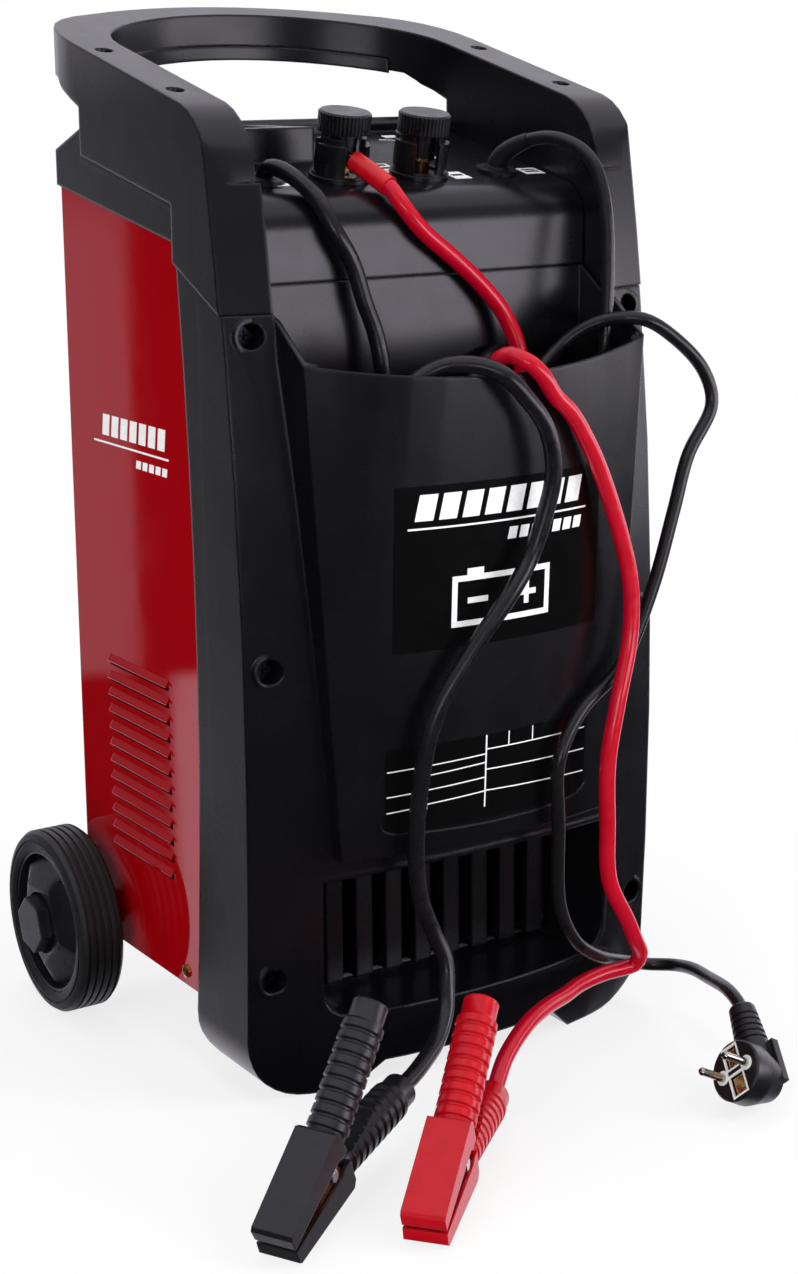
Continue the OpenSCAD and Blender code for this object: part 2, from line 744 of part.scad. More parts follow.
// The outer bands of the cover, under the handle arms
module cover_side(inset) {
    lift = inset > 0 ? -60 : 0;
    front = inset > 0 ? cowl_depth + inset : arm_rear_depth + fit_gap;
    polygon([[front, band_low_z + lift],
        [cover_rear - inset, band_low_z + (cover_rear - 76.9)*band_low_slope + lift],
        [cover_rear - inset, rim_z - 15 - inset], [arm_notch_depth + 2 + inset, rim_z - 1.5 - inset],
        [arm_notch_depth + fit_gap + inset, rim_z - 3.5 - inset],
        [arm_notch_depth + fit_gap + inset, gap_line(arm_notch_depth) - inset],
        [front, gap_line(front) - inset]]);
}

function gap_line(depth) = band_top_z + (depth - arm_rear_depth)*band_top_slope;

// Places on the deck, with Z square to it
module on_deck(x, depth) translate([x, depth, deck_z(depth)]) rotate([deck_tilt, 0, 0]) children();

module top_cover() color(black_plastic) behind_front() {
    wall = shell_wall;
    middle_half = arm_in - fit_gap;
    difference() {
        union() {
            across(-middle_half, middle_half) cover_middle(0);
            across(-shell_half, shell_half) cover_side(0);
            meter_block(0);
        }
        difference() {
            union() {
                across(-middle_half + wall, middle_half - wall) cover_middle(wall);
                across(-rebate_half, rebate_half) cover_side(wall);
                meter_block(wall);
            }
            for (d = handle_screw_depth) mirrored() translate([handle_screw_x, d, gap_line(d) - 15])
                cylinder(d = 8.5, h = 40);
        }
        for (side = [-1, 1]) on_deck(terminal_at(side), terminal_depth)
            cylinder(d = stud_d + 0.2, h = 20, center = true);
        for (x = [-gland_x, gland_x]) on_deck(x, terminal_depth)
            cylinder(d = gland_bore, h = 20, center = true);
        on_deck(selector_x, selector_depth) cylinder(d = 10.4, h = 20, center = true);
        on_deck(fuse_x, fuse_depth) cylinder(d = 13.4, h = 20, center = true);
        translate([meter_x - meter_window[0]/2, meter_mid - meter_window[1]/2, meter_top_z - 10])
            cube([meter_window[0], meter_window[1], 20]);
        for (d = handle_screw_depth) mirrored() translate([handle_screw_x, d, gap_line(d) - 30])
            cylinder(d = handle_screw_d, h = 60);
    }
}

gland_bore = 14;

// The raised block that holds the meter
module meter_block(inset) {
    x0 = meter_x - meter_half + inset;
    width = 2*(meter_half - inset);
    translate([x0, meter_depth[0] + inset, 530])
        cube([width, meter_depth[1] - meter_depth[0], meter_top_z - 530 - inset]);
}

// ---------------------------------------------------------------- handle

bar_r = 246;
bar_in_r = 156;
bar_end = 100;

function bar_back(x) = bar_rear - bar_r + sqrt(bar_r*bar_r - x*x);
function bar_front(x) = bar_rear - bar_w - bar_in_r + sqrt(bar_in_r*bar_in_r - x*x);

// A quadratic curve between two points
function bend(a, b, c, steps) =
    [for (i = [0:steps]) let (t = i/steps) (1 - t)*(1 - t)*a + 2*t*(1 - t)*b + t*t*c];

// Plan of the handle, in width and depth
module handle_plan(inset) {
    back = [for (i = [-6:6]) let (x = bar_end*i/6) [x, bar_back(x) - inset]];
    corner = bend([bar_end, bar_back(bar_end) - inset], [handle_half - inset, bar_back(bar_end) - 14],
        [handle_half - inset, 200], 6);
    hollow = [for (i = [-6:6]) let (x = 80*i/6) [x, bar_front(x) + inset]];
    inner = bend([80, bar_front(80) + inset], [arm_in + inset, bar_front(80) - 22],
        [arm_in + inset, arm_notch_depth + 1], 5);
    difference() {
        polygon(concat([[-handle_half + inset, 0]], [for (i = [6:-1:1]) [-corner[i][0], corner[i][1]]],
            back, [for (i = [1:6]) corner[i]], [[handle_half - inset, 0]]));
        polygon(concat([[-arm_in - inset, -10]], [for (i = [5:-1:1]) [-inner[i][0], inner[i][1]]],
            hollow, [for (i = [1:5]) inner[i]], [[arm_in + inset, -10]]));
    }
}

// Side outline of the arms and the crossbar
module handle_side(inset, low_open) {
    lowest = low_open ? -60 : fit_gap;
    top = arc(72, 533, 44 - inset, 180, 106, 6);
    polygon(concat([[-20, seam_z + lowest], [-20, 533]],
        [for (p = top) [p[0], p[1] + (p[1] - 533)*0.02]],
        [[bar_rear + 5, handle_z(bar_rear + 5) - inset],
        [bar_rear + 5, handle_z(bar_rear + 5) - bar_h + inset], [222, handle_z(222) - bar_h + 2 + inset],
        [212, 583 + inset], [arm_notch_depth - inset, 573 + inset],
        [arm_notch_depth - inset, gap_line(arm_notch_depth) + lowest],
        [arm_rear_depth - inset, gap_line(arm_rear_depth) + lowest],
        [arm_rear_depth - inset, arm_foot_z + lowest],
        [strip_depth, seam_z + lowest]]));
}

module handle_body(inset, low_open) {
    intersection() {
        translate([0, 0, 400]) linear_extrude(height = 300) handle_plan(inset);
        across(-200, 200) handle_side(inset, low_open);
        bowed_block(handle_half + 1, inset, 320, 440, 660, 4);
    }
}

module handle() color(black_plastic) behind_front() difference() {
    handle_body(0, false);
    difference() {
        intersection() {
            handle_body(handle_wall, true);
            translate([-200, 0, 0]) cube([400, 196, 620]);
        }
        for (d = handle_screw_depth) mirrored() translate([handle_screw_x, d, 500]) cylinder(d = 12, h = 140);
    }
    for (d = handle_screw_depth) mirrored() translate([handle_screw_x, d, 0]) {
        cylinder(d = handle_screw_d + 0.2, h = 700);
        translate([0, 0, handle_z(d) - handle_screw_sink - 3]) cylinder(d = 11, h = 40);
    }
    grip_space(fit_gap/2);
}

// The lower shell of the crossbar, cut on the parting line
module grip_space(grow) intersection() {
    translate([0, 0, 400]) linear_extrude(height = 300) handle_plan(0);
    across(-bar_end - grow, bar_end + grow) polygon([[210, handle_z(210) - bar_h - 5],
        [bar_rear + 6, handle_z(bar_rear + 6) - bar_h - 5],
        [bar_rear + 6, handle_z(bar_rear + 6) - bar_h + grip_h + grow],
        [210, handle_z(210) - bar_h + grip_h + grow]]);
}

module handle_grip() color(black_plastic) behind_front() intersection() {
    grip_space(-fit_gap/2);
    across(-200, 200) polygon([[200, handle_z(200) - bar_h], [bar_rear + 6, handle_z(bar_rear + 6) - bar_h],
        [bar_rear + 6, 700], [200, 700]]);
}

module handle_screws() color(brass) behind_front()
    for (d = handle_screw_depth) mirrored()
        translate([handle_screw_x, d, handle_z(d) - handle_screw_sink - 3]) {
            difference() {
                cylinder(d = handle_screw_head_d, h = 3);
                translate([0, 0, 1]) cross_recess(6, 4);
            }
            translate([0, 0, -handle_screw_len]) cylinder(d = handle_screw_d, h = handle_screw_len);
        }

// ---------------------------------------------------------------- terminals and glands

function terminal_at(side) = side*terminal_x + terminal_shift;

module at_terminals() for (side = [-1, 1]) at_terminal(side) children();
module at_terminal(side) behind_front() on_deck(terminal_at(side), terminal_depth) children();

washer_z = nut_h + lug_t;

// Slotted guards round the studs
module terminal_guards() color(black_plastic) for (side = [-1, 1]) at_terminal(side) difference() {
    union() {
        cylinder(d = guard_d + 3, h = 2.5);
        cylinder(d = guard_d, h = guard_h);
        cylinder(d = collar_d, h = cap_seat - 2.8);
    }
    translate([0, 0, 2.5]) cylinder(d = guard_bore, h = cap_seat);
    translate([0, 0, -1]) cylinder(d = stud_d + 0.2, h = 6);
    for (a = [0, 120, 240]) rotate(a + lug_turn - (side > 0 ? 22 : 0)) translate([0, -7, 4])
        cube([guard_d, 14, cap_seat]);
}

module terminal_studs() color(brass) at_terminals() {
    translate([0, 0, -18]) cylinder(d = stud_d, h = 18 + cap_seat + cap_h - 7);
    translate([0, 0, 2.5]) cylinder(d = 13, h = nut_h - 2.5, $fn = 6);
    translate([0, 0, -shell_wall - 5]) cylinder(d = 14, h = 5, $fn = 6);
}

// The washer is captive under the cap: it slides up the stud, and the cap turns on it
module washer() translate([0, 0, washer_z]) difference() {
    cylinder(d = 17, h = washer_t);
    translate([0, 0, -1]) cylinder(d = stud_d + 2*running_gap, h = 4);
}

module terminal_cap() {
    z0 = washer_z + washer_t + 0.1;
    head = cap_seat;
    difference() {
        union() {
            translate([0, 0, z0]) cylinder(d = cap_stem_d, h = head - z0 + 1);
            translate([0, 0, head]) cylinder(d = cap_d, h = cap_h - 1.2);
            translate([0, 0, head + cap_h - 1.2]) cylinder(d1 = cap_d, d2 = cap_d - 2.4, h = 1.2);
        }
        translate([0, 0, z0 - 1]) cylinder(d = stud_d + 2*running_gap, h = head - z0 + cap_h - 1);
        for (i = [0:cap_flutes - 1]) rotate(i*360/cap_flutes) translate([cap_d/2 + 0.3, 0, head - 1])
            cylinder(d = 1.7, h = cap_h, $fn = 6);
    }
}

module left_washer() color(brass) at_terminal(-1) washer();
module right_washer() color(brass) at_terminal(1) translate([0, 0, -lug_t + 0.1]) washer();
module left_cap() color(black_plastic) at_terminal(-1) terminal_cap();
module right_cap() color(black_plastic) at_terminal(1) translate([0, 0, -lug_t + 0.1]) terminal_cap();

// A cable gland clipped into the deck, with a bore for its cord
module gland(d, lip) difference() {
    union() {
        cylinder(d = 25, h = 2.4);
        cylinder(d1 = d + 9, d2 = d + 4, h = lip);
        translate([0, 0, -6]) cylinder(d = gland_bore - 0.2, h = 7);
    }
    translate([0, 0, -10]) cylinder(d = d + 2*cord_gap, h = 30);
}

module lead_gland() color(dark_plastic) behind_front() on_deck(-gland_x, terminal_depth) gland(lead_d, 2.9);
module mains_gland() color(dark_plastic) behind_front() on_deck(gland_x, terminal_depth) gland(mains_d, 5);

// The red lead's lug lies on the nut, and its barrel leaves through a slot of the guard
module red_lug() color(copper) {
    at_terminal(-1) translate([0, 0, nut_h + 0.05]) difference() {
        union() {
            cylinder(d = 16, h = lug_t - 0.1);
            rotate(lug_turn) translate([0, -4, 0]) cube([10.5, 8, lug_t - 0.1]);
        }
        translate([0, 0, -1]) cylinder(d = stud_d + 0.2, h = 5);
    }
    along_sleeve() translate([0, 0, -3]) cylinder(d = 8, h = 3 + sleeve_start - 0.2);
}

// The line of the sleeve, with Z down the lead from the sleeve's upper end
module along_sleeve() translate(sleeve_from) rotate(look_along(red_route[1] - sleeve_from)) children();

function look_along(v) = [0, acos(v[2]/norm(v)), atan2(v[1], v[0])];

module red_sleeve() color(bright_red) along_sleeve() difference() {
    cylinder(d = lead_d + 2, h = norm(red_route[1] - sleeve_from));
    translate([0, 0, -1]) cylinder(d = 8.4, h = 60);
    translate([0, 0, sleeve_start]) cylinder(d = lead_d + cord_gap, h = 60);
}

// ---------------------------------------------------------------- meter, selector and fuse

module meter_case() color(dark_plastic) behind_front() difference() {
    translate([meter_x - 36, meter_mid - 29, meter_top_z - 30]) cube([72, 58, 30 - shell_wall - 0.1]);
    translate([meter_x - 33, meter_mid - 26, meter_top_z - 14]) cube([66, 52, 20]);
}

module meter_dial() color(white) behind_front()
    translate([meter_x - 32.8, meter_mid - 25.8, meter_top_z - 14]) difference() {
        cube([65.6, 51.6, 1]);
        translate([32.8, needle_pivot - meter_mid + 25.8, -1]) cylinder(d = 4.4, h = 4);
    }

module meter_needle() color(bright_red) behind_front()
    translate([meter_x, needle_pivot, meter_top_z - 14]) rotate(needle_rest) {
    cylinder(d = 4, h = 3.4);
    translate([0, 0, 1.6]) cylinder(d = 8, h = 1.6);
    translate([-0.6, 0, 1.9]) cube([1.2, needle_len, 1]);
    translate([-1.2, -9, 1.9]) cube([2.4, 9, 1]);
}

module meter_window() color([0.8, 0.85, 0.9, 0.4]) behind_front() {
    translate([meter_x - 32, meter_mid - 25, meter_top_z - shell_wall - 1.7]) cube([64, 50, 1.6]);
    translate([meter_x - meter_window[0]/2 + 0.2, meter_mid - meter_window[1]/2 + 0.2,
        meter_top_z - shell_wall - 0.2])
        cube([meter_window[0] - 0.4, meter_window[1] - 0.4, shell_wall - 0.6]);
}

module selector_switch() color(dark_plastic) behind_front() on_deck(selector_x, selector_depth) difference() {
    union() {
        translate([-20, -20, -shell_wall - 22]) cube([40, 40, 21.8]);
        translate([0, 0, -shell_wall - 1]) cylinder(d = 10, h = shell_wall + 3);
    }
    translate([0, 0, -16]) cylinder(d = 6 + 2*running_gap, h = 40);
}

module selector_knob() color(black_plastic) behind_front() on_deck(selector_x, selector_depth) difference() {
    union() {
        translate([0, 0, 2.4]) cylinder(d = selector_d, h = 4);
        translate([0, 0, 6.4]) cylinder(d1 = selector_d - 3, d2 = selector_d - 7, h = 9);
        translate([-3, -selector_d/2 + 1, 6]) cube([6, selector_d - 2, 11]);
        translate([0, 0, -12]) cylinder(d = 6, h = 16);
    }
    translate([-0.6, selector_d/2 - 9, 16]) cube([1.2, 8, 3]);
}

module fuse_holder() color(dark_plastic) behind_front() on_deck(fuse_x, fuse_depth) difference() {
    union() {
        cylinder(d = 19, h = 2.5);
        translate([0, 0, -28]) cylinder(d = 13, h = 29);
    }
    translate([0, 0, -24]) cylinder(d = 7 + 2*running_gap, h = 40);
    translate([0, 0, 1.5]) cylinder(d = 15, h = 4);
}

module fuse_cap() color(black_plastic) behind_front() on_deck(fuse_x, fuse_depth) difference() {
    union() {
        translate([0, 0, 1.8]) cylinder(d = 14, h = 6);
        translate([0, 0, -16]) cylinder(d = 7, h = 18);
    }
    translate([-4.5, -0.8, 6.4]) cube([9, 1.6, 3]);
}

// ---------------------------------------------------------------- inside

core_x = -28;
core_depth = 132;
core_size = [96, 84, 116];
core_leg = 26;
floor_top = steel_low_z + base_t;
fan_z = 300;
fan_size = 92;
fan_t = 25;

module transformer_core() color([0.35, 0.35, 0.38]) behind_front()
    translate([core_x - core_size[0]/2, core_depth - core_size[1]/2 + 20, floor_top]) difference() {
        union() {
            cube([core_size[0], core_size[1] - 40, core_size[2]]);
            translate([-12, 0, 0]) cube([core_size[0] + 24, core_size[1] - 40, 3]);
        }
        for (x = [core_leg/2 + 3, core_size[0] - core_leg/2 - 3 - window_w()]) translate([x, -1, 20])
            cube([window_w(), core_size[1], core_size[2] - 40]);
    }

function window_w() = (core_size[0] - 2*core_leg)/2;

module transformer_winding() color(copper) behind_front() {
    leg0 = core_leg/2 + 3 + window_w();
    leg1 = core_size[0] - core_leg/2 - 3 - window_w();
    translate([core_x - core_size[0]/2, core_depth, floor_top]) difference() {
        translate([leg0 - window_w() + 1, -core_size[1]/2, 21])
            cube([leg1 - leg0 + 2*window_w() - 2, core_size[1], core_size[2] - 42]);
        translate([leg0 - 0.2, -core_size[1]/2 + 19.8, 0])
            cube([leg1 - leg0 + 0.4, core_size[1] - 39.6, core_size[2]]);
    }
}

sink_x = 76;

module rectifier_sink() color([0.7, 0.71, 0.73]) behind_front() translate([sink_x, 90, floor_top]) {
    cube([6, 100, 90]);
    for (i = [0:6]) translate([5.9, 4 + i*15, 0]) cube([26, 2.5, 90]);
    translate([-12, 20, 0]) cube([13, 60, 3]);
}

module rectifier_diodes() color(steel) behind_front() for (z = [24, 66], d = [112, 162])
    translate([sink_x, d, floor_top + z]) rotate([0, -90, 0]) {
        cylinder(d = 17, h = 7, $fn = 6);
        translate([0, 0, 7]) cylinder(d = 12, h = 8);
        translate([0, 0, 15]) cylinder(d = 4, h = 12);
    }

module thermal_cutout() color(dark_plastic) behind_front()
    translate([core_x, core_depth, floor_top + core_size[2]]) {
        translate([-9, -6, 0]) cube([18, 12, 7]);
        translate([0, 0, 7]) cylinder(d = 10, h = 5);
    }

module at_fan() behind_front()
    translate([0, steel_rear - steel_t - fan_t, fan_z]) rotate([-90, 0, 0]) children();

module fan_frame() color(dark_plastic) at_fan() difference() {
    translate([-fan_size/2, -fan_size/2, 0]) cube([fan_size, fan_size, fan_t]);
    difference() {
        translate([0, 0, -1]) cylinder(d = fan_size - 4, h = fan_t + 2, $fn = 72);
        cylinder(d = 32, h = 4);
        for (a = [45:90:315]) rotate(a) translate([0, -3, 0]) cube([fan_size/2, 6, 3]);
        translate([0, 0, 3.9]) cylinder(d = 6, h = 12);
    }
}

module fan_rotor() color(black_plastic) at_fan() difference() {
    union() {
        translate([0, 0, 5]) cylinder(d = 34, h = fan_t - 8);
        for (a = [0:360/7:359]) rotate(a) translate([14, -1, 8]) rotate([32, 0, 0])
            cube([fan_size/2 - 19, 2, 14]);
    }
    translate([0, 0, 4]) cylinder(d = 6 + 2*running_gap, h = 13);
}

// ---------------------------------------------------------------- leads

function unit(v) = v/norm(v);
function tangent(p, i) = let (n = len(p) - 1) unit(p[min(i + 1, n)] - p[max(i - 1, 0)]);
// The side direction at each point, carried along the route without twisting
function sides_of(p) = [for (i = 0, u = unit(cross(tangent(p, 0), [0.3, 0.2, 0.9])); i < len(p);
    i = i + 1, u = i < len(p) ? unit(u - (u*tangent(p, i))*tangent(p, i)) : u) u];

// A tube of flat facets along a route
module tube(route, r, sides) {
    u = sides_of(route);
    rings = [for (i = [0:len(route) - 1], k = [0:sides - 1])
        let (t = tangent(route, i), v = cross(t, u[i]), a = 360*k/sides)
            route[i] + r*(u[i]*cos(a) + v*sin(a))];
    last = len(route) - 1;
    polyhedron(points = rings, faces = concat(
        [[for (k = [0:sides - 1]) k]], [[for (k = [sides - 1:-1:0]) last*sides + k]],
        [for (i = [0:last - 1], k = [0:sides - 1]) let (m = (k + 1)%sides)
            each [[i*sides + k, (i + 1)*sides + m, i*sides + m],
                [i*sides + k, (i + 1)*sides + k, (i + 1)*sides + m]]]));
}

module black_lead() color(dark_plastic) tube(black_route, lead_d/2, 8);
module red_lead() color(bright_red) tube(red_route, lead_d/2, 8);
module mains_cord() color(dark_plastic) tube(mains_route, mains_d/2, 8);

// ---------------------------------------------------------------- clamps

half_spread = clamp_spread/2;

// The tip of a clamp's jaws, X towards its handles midway between the halves
module at_clamp(i) translate(clamp_place[i]) rotate([0, 0, clamp_yaw[i]])
    rotate([0, -clamp_rise[i] - half_spread, 0]) children();
// One half of a clamp, with Z away from the other half
module top_half(i) at_clamp(i) rotate([0, -half_spread, 0]) children();
module base_half(i) at_clamp(i) mirror([0, 0, 1]) rotate([0, -half_spread, 0]) children();

cover_end = 62;
cover_wall = 1.8;
grip_root = [61, 0, 4.3];
grip_rings = 9;
grip_collar = 11;
tang_half = 6;
tang_end = 72;
jaw_z = 3.4;
jaw_t = 1.6;
ear_t = 1.5;
ear_end = 57;
pin_along = clamp_pivot*cos(half_spread);
pin_down = clamp_pivot*sin(half_spread);

// Insulating cover over a jaw, running into a ribbed grip
module clamp_grip(bore) difference() {
    union() {
        difference() {
            broad(clamp_w) polygon([[0, 1.3], [0, 8.6], [1.8, 10.4], [cover_end - 3, 17], [cover_end, 13.5],
                [cover_end, -1], [pin_along + 9, -1], [pin_along + 6, 1.3]]);
            broad(clamp_w - 2*cover_wall) polygon([[2, -10], [2, 8], [3.6, 8.8], [cover_end - 3.4, 15.1],
                [cover_end - 3.4, -10]]);
        }
        at_grip() rotate_extrude() grip_profile();
    }
    broad(2*tang_half + 0.2) polygon([[40, jaw_z - 0.1], [tang_end + 0.1, jaw_z - 0.1],
        [tang_end + 0.1, jaw_z + jaw_t + 0.1], [40, jaw_z + jaw_t + 0.1]]);
    translate([pin_along, 0, -pin_down]) rotate([0, half_spread - clamp_travel/2, 0])
        translate([2, -30, -59.85]) cube([160, 60, 60]);
    if (bore > 0) at_grip() translate([0, 0, grip_len - lead_bore]) cylinder(d = bore, h = 40);
}

// An outline along the clamp and away from its other half, carried across its width
module broad(w) translate([0, w/2, 0]) rotate([90, 0, 0]) linear_extrude(height = w) children();

// Z along a grip from its root
module at_grip() translate(grip_root) rotate([0, 90 - grip_splay, 0]) children();

module grip_profile() {
    r = grip_d/2;
    pitch = (grip_len - grip_collar - 5)/grip_rings;
    rings = [for (i = [0:grip_rings - 1]) let (z = 5 + i*pitch)
        each [[r - 1.2, z], [r, z + 0.8], [r - 0.2, z + pitch - 2], [r - 1.2, z + pitch - 1.2]]];
    polygon(concat([[0, -2], [r - 3, -2], [r - 1.2, 5 - 1.2]], rings,
        [[r - 1.8, grip_len - grip_collar], [r - 1.8, grip_len - 1], [r - 2.8, grip_len], [0, grip_len]]));
}

// A folded metal jaw with teeth and two ears on the hinge pin
module clamp_jaw(ear_in, pin_hole) difference() {
    outer = ear_in + ear_t;
    union() {
        translate([2.2, -outer, jaw_z]) cube([ear_end - 2.2, 2*outer, jaw_t]);
        translate([20, -tang_half, jaw_z]) cube([tang_end - 20, 2*tang_half, jaw_t]);
        for (s = [ear_in + ear_t/2, -ear_in - ear_t/2]) translate([0, s, 0]) broad(ear_t)
            polygon(concat([[2.2, jaw_z + jaw_t], [2.2, 0.6]],
                [for (i = [0:5]) each [[4 + i*4, 0.3], [6 + i*4, 2]]],
                [[30, 0]], arc(pin_along, -pin_down, 6, 200, 350, 8),
                [[ear_end, 1], [ear_end, jaw_z + jaw_t]]));
    }
    translate([pin_along, 0, -pin_down]) rotate([90, 0, 0]) cylinder(d = pin_hole, h = 60, center = true);
}

base_ear = 8.2;
top_ear = 6.3;

module black_base_grip() color(dark_plastic) base_half(0) clamp_grip(lead_d + 2*cord_gap);
module black_top_grip() color(dark_plastic) top_half(0) clamp_grip(0);
module black_base_jaw() color(copper) base_half(0) clamp_jaw(base_ear, clamp_pin_d + 0.02);
module black_top_jaw() color(copper) top_half(0) clamp_jaw(top_ear, clamp_pin_d + 2*running_gap);
module red_base_grip() color(bright_red) base_half(1) clamp_grip(lead_d + 2*cord_gap);
module red_top_grip() color(bright_red) top_half(1) clamp_grip(0);
module red_base_jaw() color(copper) base_half(1) clamp_jaw(base_ear, clamp_pin_d + 0.02);
module red_top_jaw() color(copper) top_half(1) clamp_jaw(top_ear, clamp_pin_d + 2*running_gap);

pin_half = base_ear + ear_t + 0.05;

module clamp_pins() color(steel) for (i = [0, 1])
    at_clamp(i) translate([clamp_pivot, 0, 0]) rotate([90, 0, 0]) {
    cylinder(d = clamp_pin_d, h = 2*pin_half + 0.1, center = true);
    mirror_ends() translate([0, 0, pin_half]) cylinder(d1 = 9, d2 = 6, h = 1.6);
}

spring_turns = 5;
spring_wire = 1.3;
spring_len = 9.2;
spring_r = clamp_pin_d/2 + spring_wire/2 + 0.45;
spring_line = [for (k = [0:spring_turns*8])
    [spring_r*cos(k*45), spring_len*(k/(spring_turns*8) - 0.5), spring_r*sin(k*45)]];
// The least gap between two turns of a spring, measured on the points of its line
spring_gap = min([for (i = [0:len(spring_line) - 1], j = [i + 5:1:len(spring_line) - 1])
    norm(spring_line[i] - spring_line[j])]) - spring_wire;
echo(spring_gap = spring_gap);

// A torsion spring of one unbroken wire round each hinge pin
module clamp_springs() color(steel) for (i = [0, 1]) at_clamp(i) translate([clamp_pivot, 0, 0])
    tube(spring_line, spring_wire/2, 6);

// ---------------------------------------------------------------- plug

pin_d = 4.8;
pin_len = 19;
pin_spacing = 19;
pin_root = 12;
plug_r = 18;
plug_back = -28;
relief_x = -23;
relief_end = 48.5;
earth_slot = [2.4, 14.8];

// The plug's face centre, X along its pins, Z towards its cord
module at_plug() translate(plug_place) rotate(plug_turn) children();
module pin_places() for (s = [-1, 1]) translate([0, s*pin_spacing/2, 0]) rotate([0, 90, 0]) children();

module plug_body() color(dark_plastic) at_plug() difference() {
    union() {
        rotate([0, -90, 0]) rotate_extrude() polygon([[0, 0], [plug_r - 1, 0], [plug_r, 1], [plug_r, 12],
            [plug_r - 5.6, -plug_back], [0, -plug_back]]);
        translate([plug_back - 2, -13.5, -6]) cube([5, 27, 27]);
        translate([relief_x, 0, 0]) rotate_extrude() relief_profile();
    }
    insert_shape(0.05);
    pin_places() translate([0, 0, -pin_root]) cylinder(d = pin_d, h = 40);
    mirror_ends() translate([-4.2, -5, -earth_slot[1]]) cube([6, 10, earth_slot[1] - earth_slot[0]]);
    translate([relief_x, 0, relief_end - cord_bore]) cylinder(d = mains_d + 2*cord_gap, h = 30);
}

// The strain relief: a taper with five grooves
module relief_profile() {
    grooves = [for (i = [0:4]) let (z = 23 + i*4.2, r = 10 - i*0.35)
        each [[r, z], [r - 1.4, z + 0.3], [r - 1.4, z + 1.5], [r - 0.1, z + 1.8]]];
    polygon(concat([[0, 6], [9, 6], [10.4, 16]], grooves,
        [[8, relief_end - 1], [7.4, relief_end], [0, relief_end]]));
}

// White rings round the pins and white frames round the earth slots
module insert_shape(grow) {
    pin_places() translate([0, 0, -1.2 - grow]) cylinder(d = 8.6 + 2*grow, h = 1.6 + 3*grow);
    mirror_ends() translate([-1.2 - grow, -6.2 - grow, -earth_slot[1] - 1.2 - grow])
        cube([1.2 + 3*grow, 12.4 + 2*grow, earth_slot[1] - earth_slot[0] + 2.4 + 2*grow]);
}

module plug_insert() color(white) at_plug() difference() {
    insert_shape(0);
    pin_places() translate([0, 0, -5]) cylinder(d = pin_d + 0.1, h = 10);
    mirror_ends() translate([-4, -5, -earth_slot[1]]) cube([8, 10, earth_slot[1] - earth_slot[0]]);
}

module plug_pins() color(steel) at_plug() pin_places() translate([0, 0, -pin_root]) {
    cylinder(d = pin_d, h = pin_root + pin_len - 1.2);
    translate([0, 0, pin_root + pin_len - 1.2]) cylinder(d1 = pin_d, d2 = pin_d - 2, h = 1.2);
}

// Spring contacts in the two earth slots
module plug_earth() color(brass) at_plug() mirror_ends() translate([-4.2, -4, -earth_slot[1] + 1])
    cube([2.4, 8, earth_slot[1] - earth_slot[0] - 2]);

// ---------------------------------------------------------------- nodes

front_shell();
front_screws();
steel_housing();
housing_screws();
base_plate();
axle_brackets();
axle();
axle_clips();
left_wheel_hub();
left_tyre();
left_hub_cap();
right_wheel_hub();
right_tyre();
right_hub_cap();
top_cover();
handle();
handle_grip();
handle_screws();
terminal_guards();
terminal_studs();
left_washer();
left_cap();
right_washer();
right_cap();
lead_gland();
mains_gland();
red_lug();
red_sleeve();
meter_case();
meter_dial();
meter_needle();
meter_window();
selector_switch();
selector_knob();
fuse_holder();
fuse_cap();
transformer_core();
transformer_winding();
rectifier_sink();
rectifier_diodes();
thermal_cutout();
fan_frame();
fan_rotor();
black_lead();
red_lead();
mains_cord();
black_base_grip();
black_top_grip();
black_base_jaw();
black_top_jaw();
red_base_grip();
red_top_grip();
red_base_jaw();
red_top_jaw();
clamp_pins();
clamp_springs();
plug_body();
plug_insert();
plug_pins();
plug_earth();
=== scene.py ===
import json
import math

import bmesh
import bpy
from mathutils import Matrix, Vector
from mathutils.bvhtree import BVHTree


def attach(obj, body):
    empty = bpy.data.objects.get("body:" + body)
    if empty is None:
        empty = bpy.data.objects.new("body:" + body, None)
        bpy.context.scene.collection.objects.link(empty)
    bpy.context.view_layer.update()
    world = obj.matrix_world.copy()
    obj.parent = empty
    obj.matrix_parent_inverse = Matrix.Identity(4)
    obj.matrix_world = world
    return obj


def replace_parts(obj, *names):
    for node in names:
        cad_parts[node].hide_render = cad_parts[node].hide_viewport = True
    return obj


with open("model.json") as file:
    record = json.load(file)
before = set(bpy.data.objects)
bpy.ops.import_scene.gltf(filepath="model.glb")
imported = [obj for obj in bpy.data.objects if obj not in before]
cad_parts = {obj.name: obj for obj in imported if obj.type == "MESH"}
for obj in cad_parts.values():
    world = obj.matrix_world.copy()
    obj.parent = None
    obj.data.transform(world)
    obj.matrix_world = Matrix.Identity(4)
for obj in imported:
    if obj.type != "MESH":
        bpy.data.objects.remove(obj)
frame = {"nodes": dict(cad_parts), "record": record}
nodes = frame["nodes"]
home = {n: b for b, ns in frame["record"]["behaviour"]["bodies"].items() for n in ns}
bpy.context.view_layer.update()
scene = bpy.context.scene

# ------------------------------------------------------------ camera

# The view in pixels: its size, focal length and the point straight ahead
FRAME_W, FRAME_H = 798, 1274
FOCAL = 2263.57
AHEAD = (381.17, 553.77)
SENSOR = 36

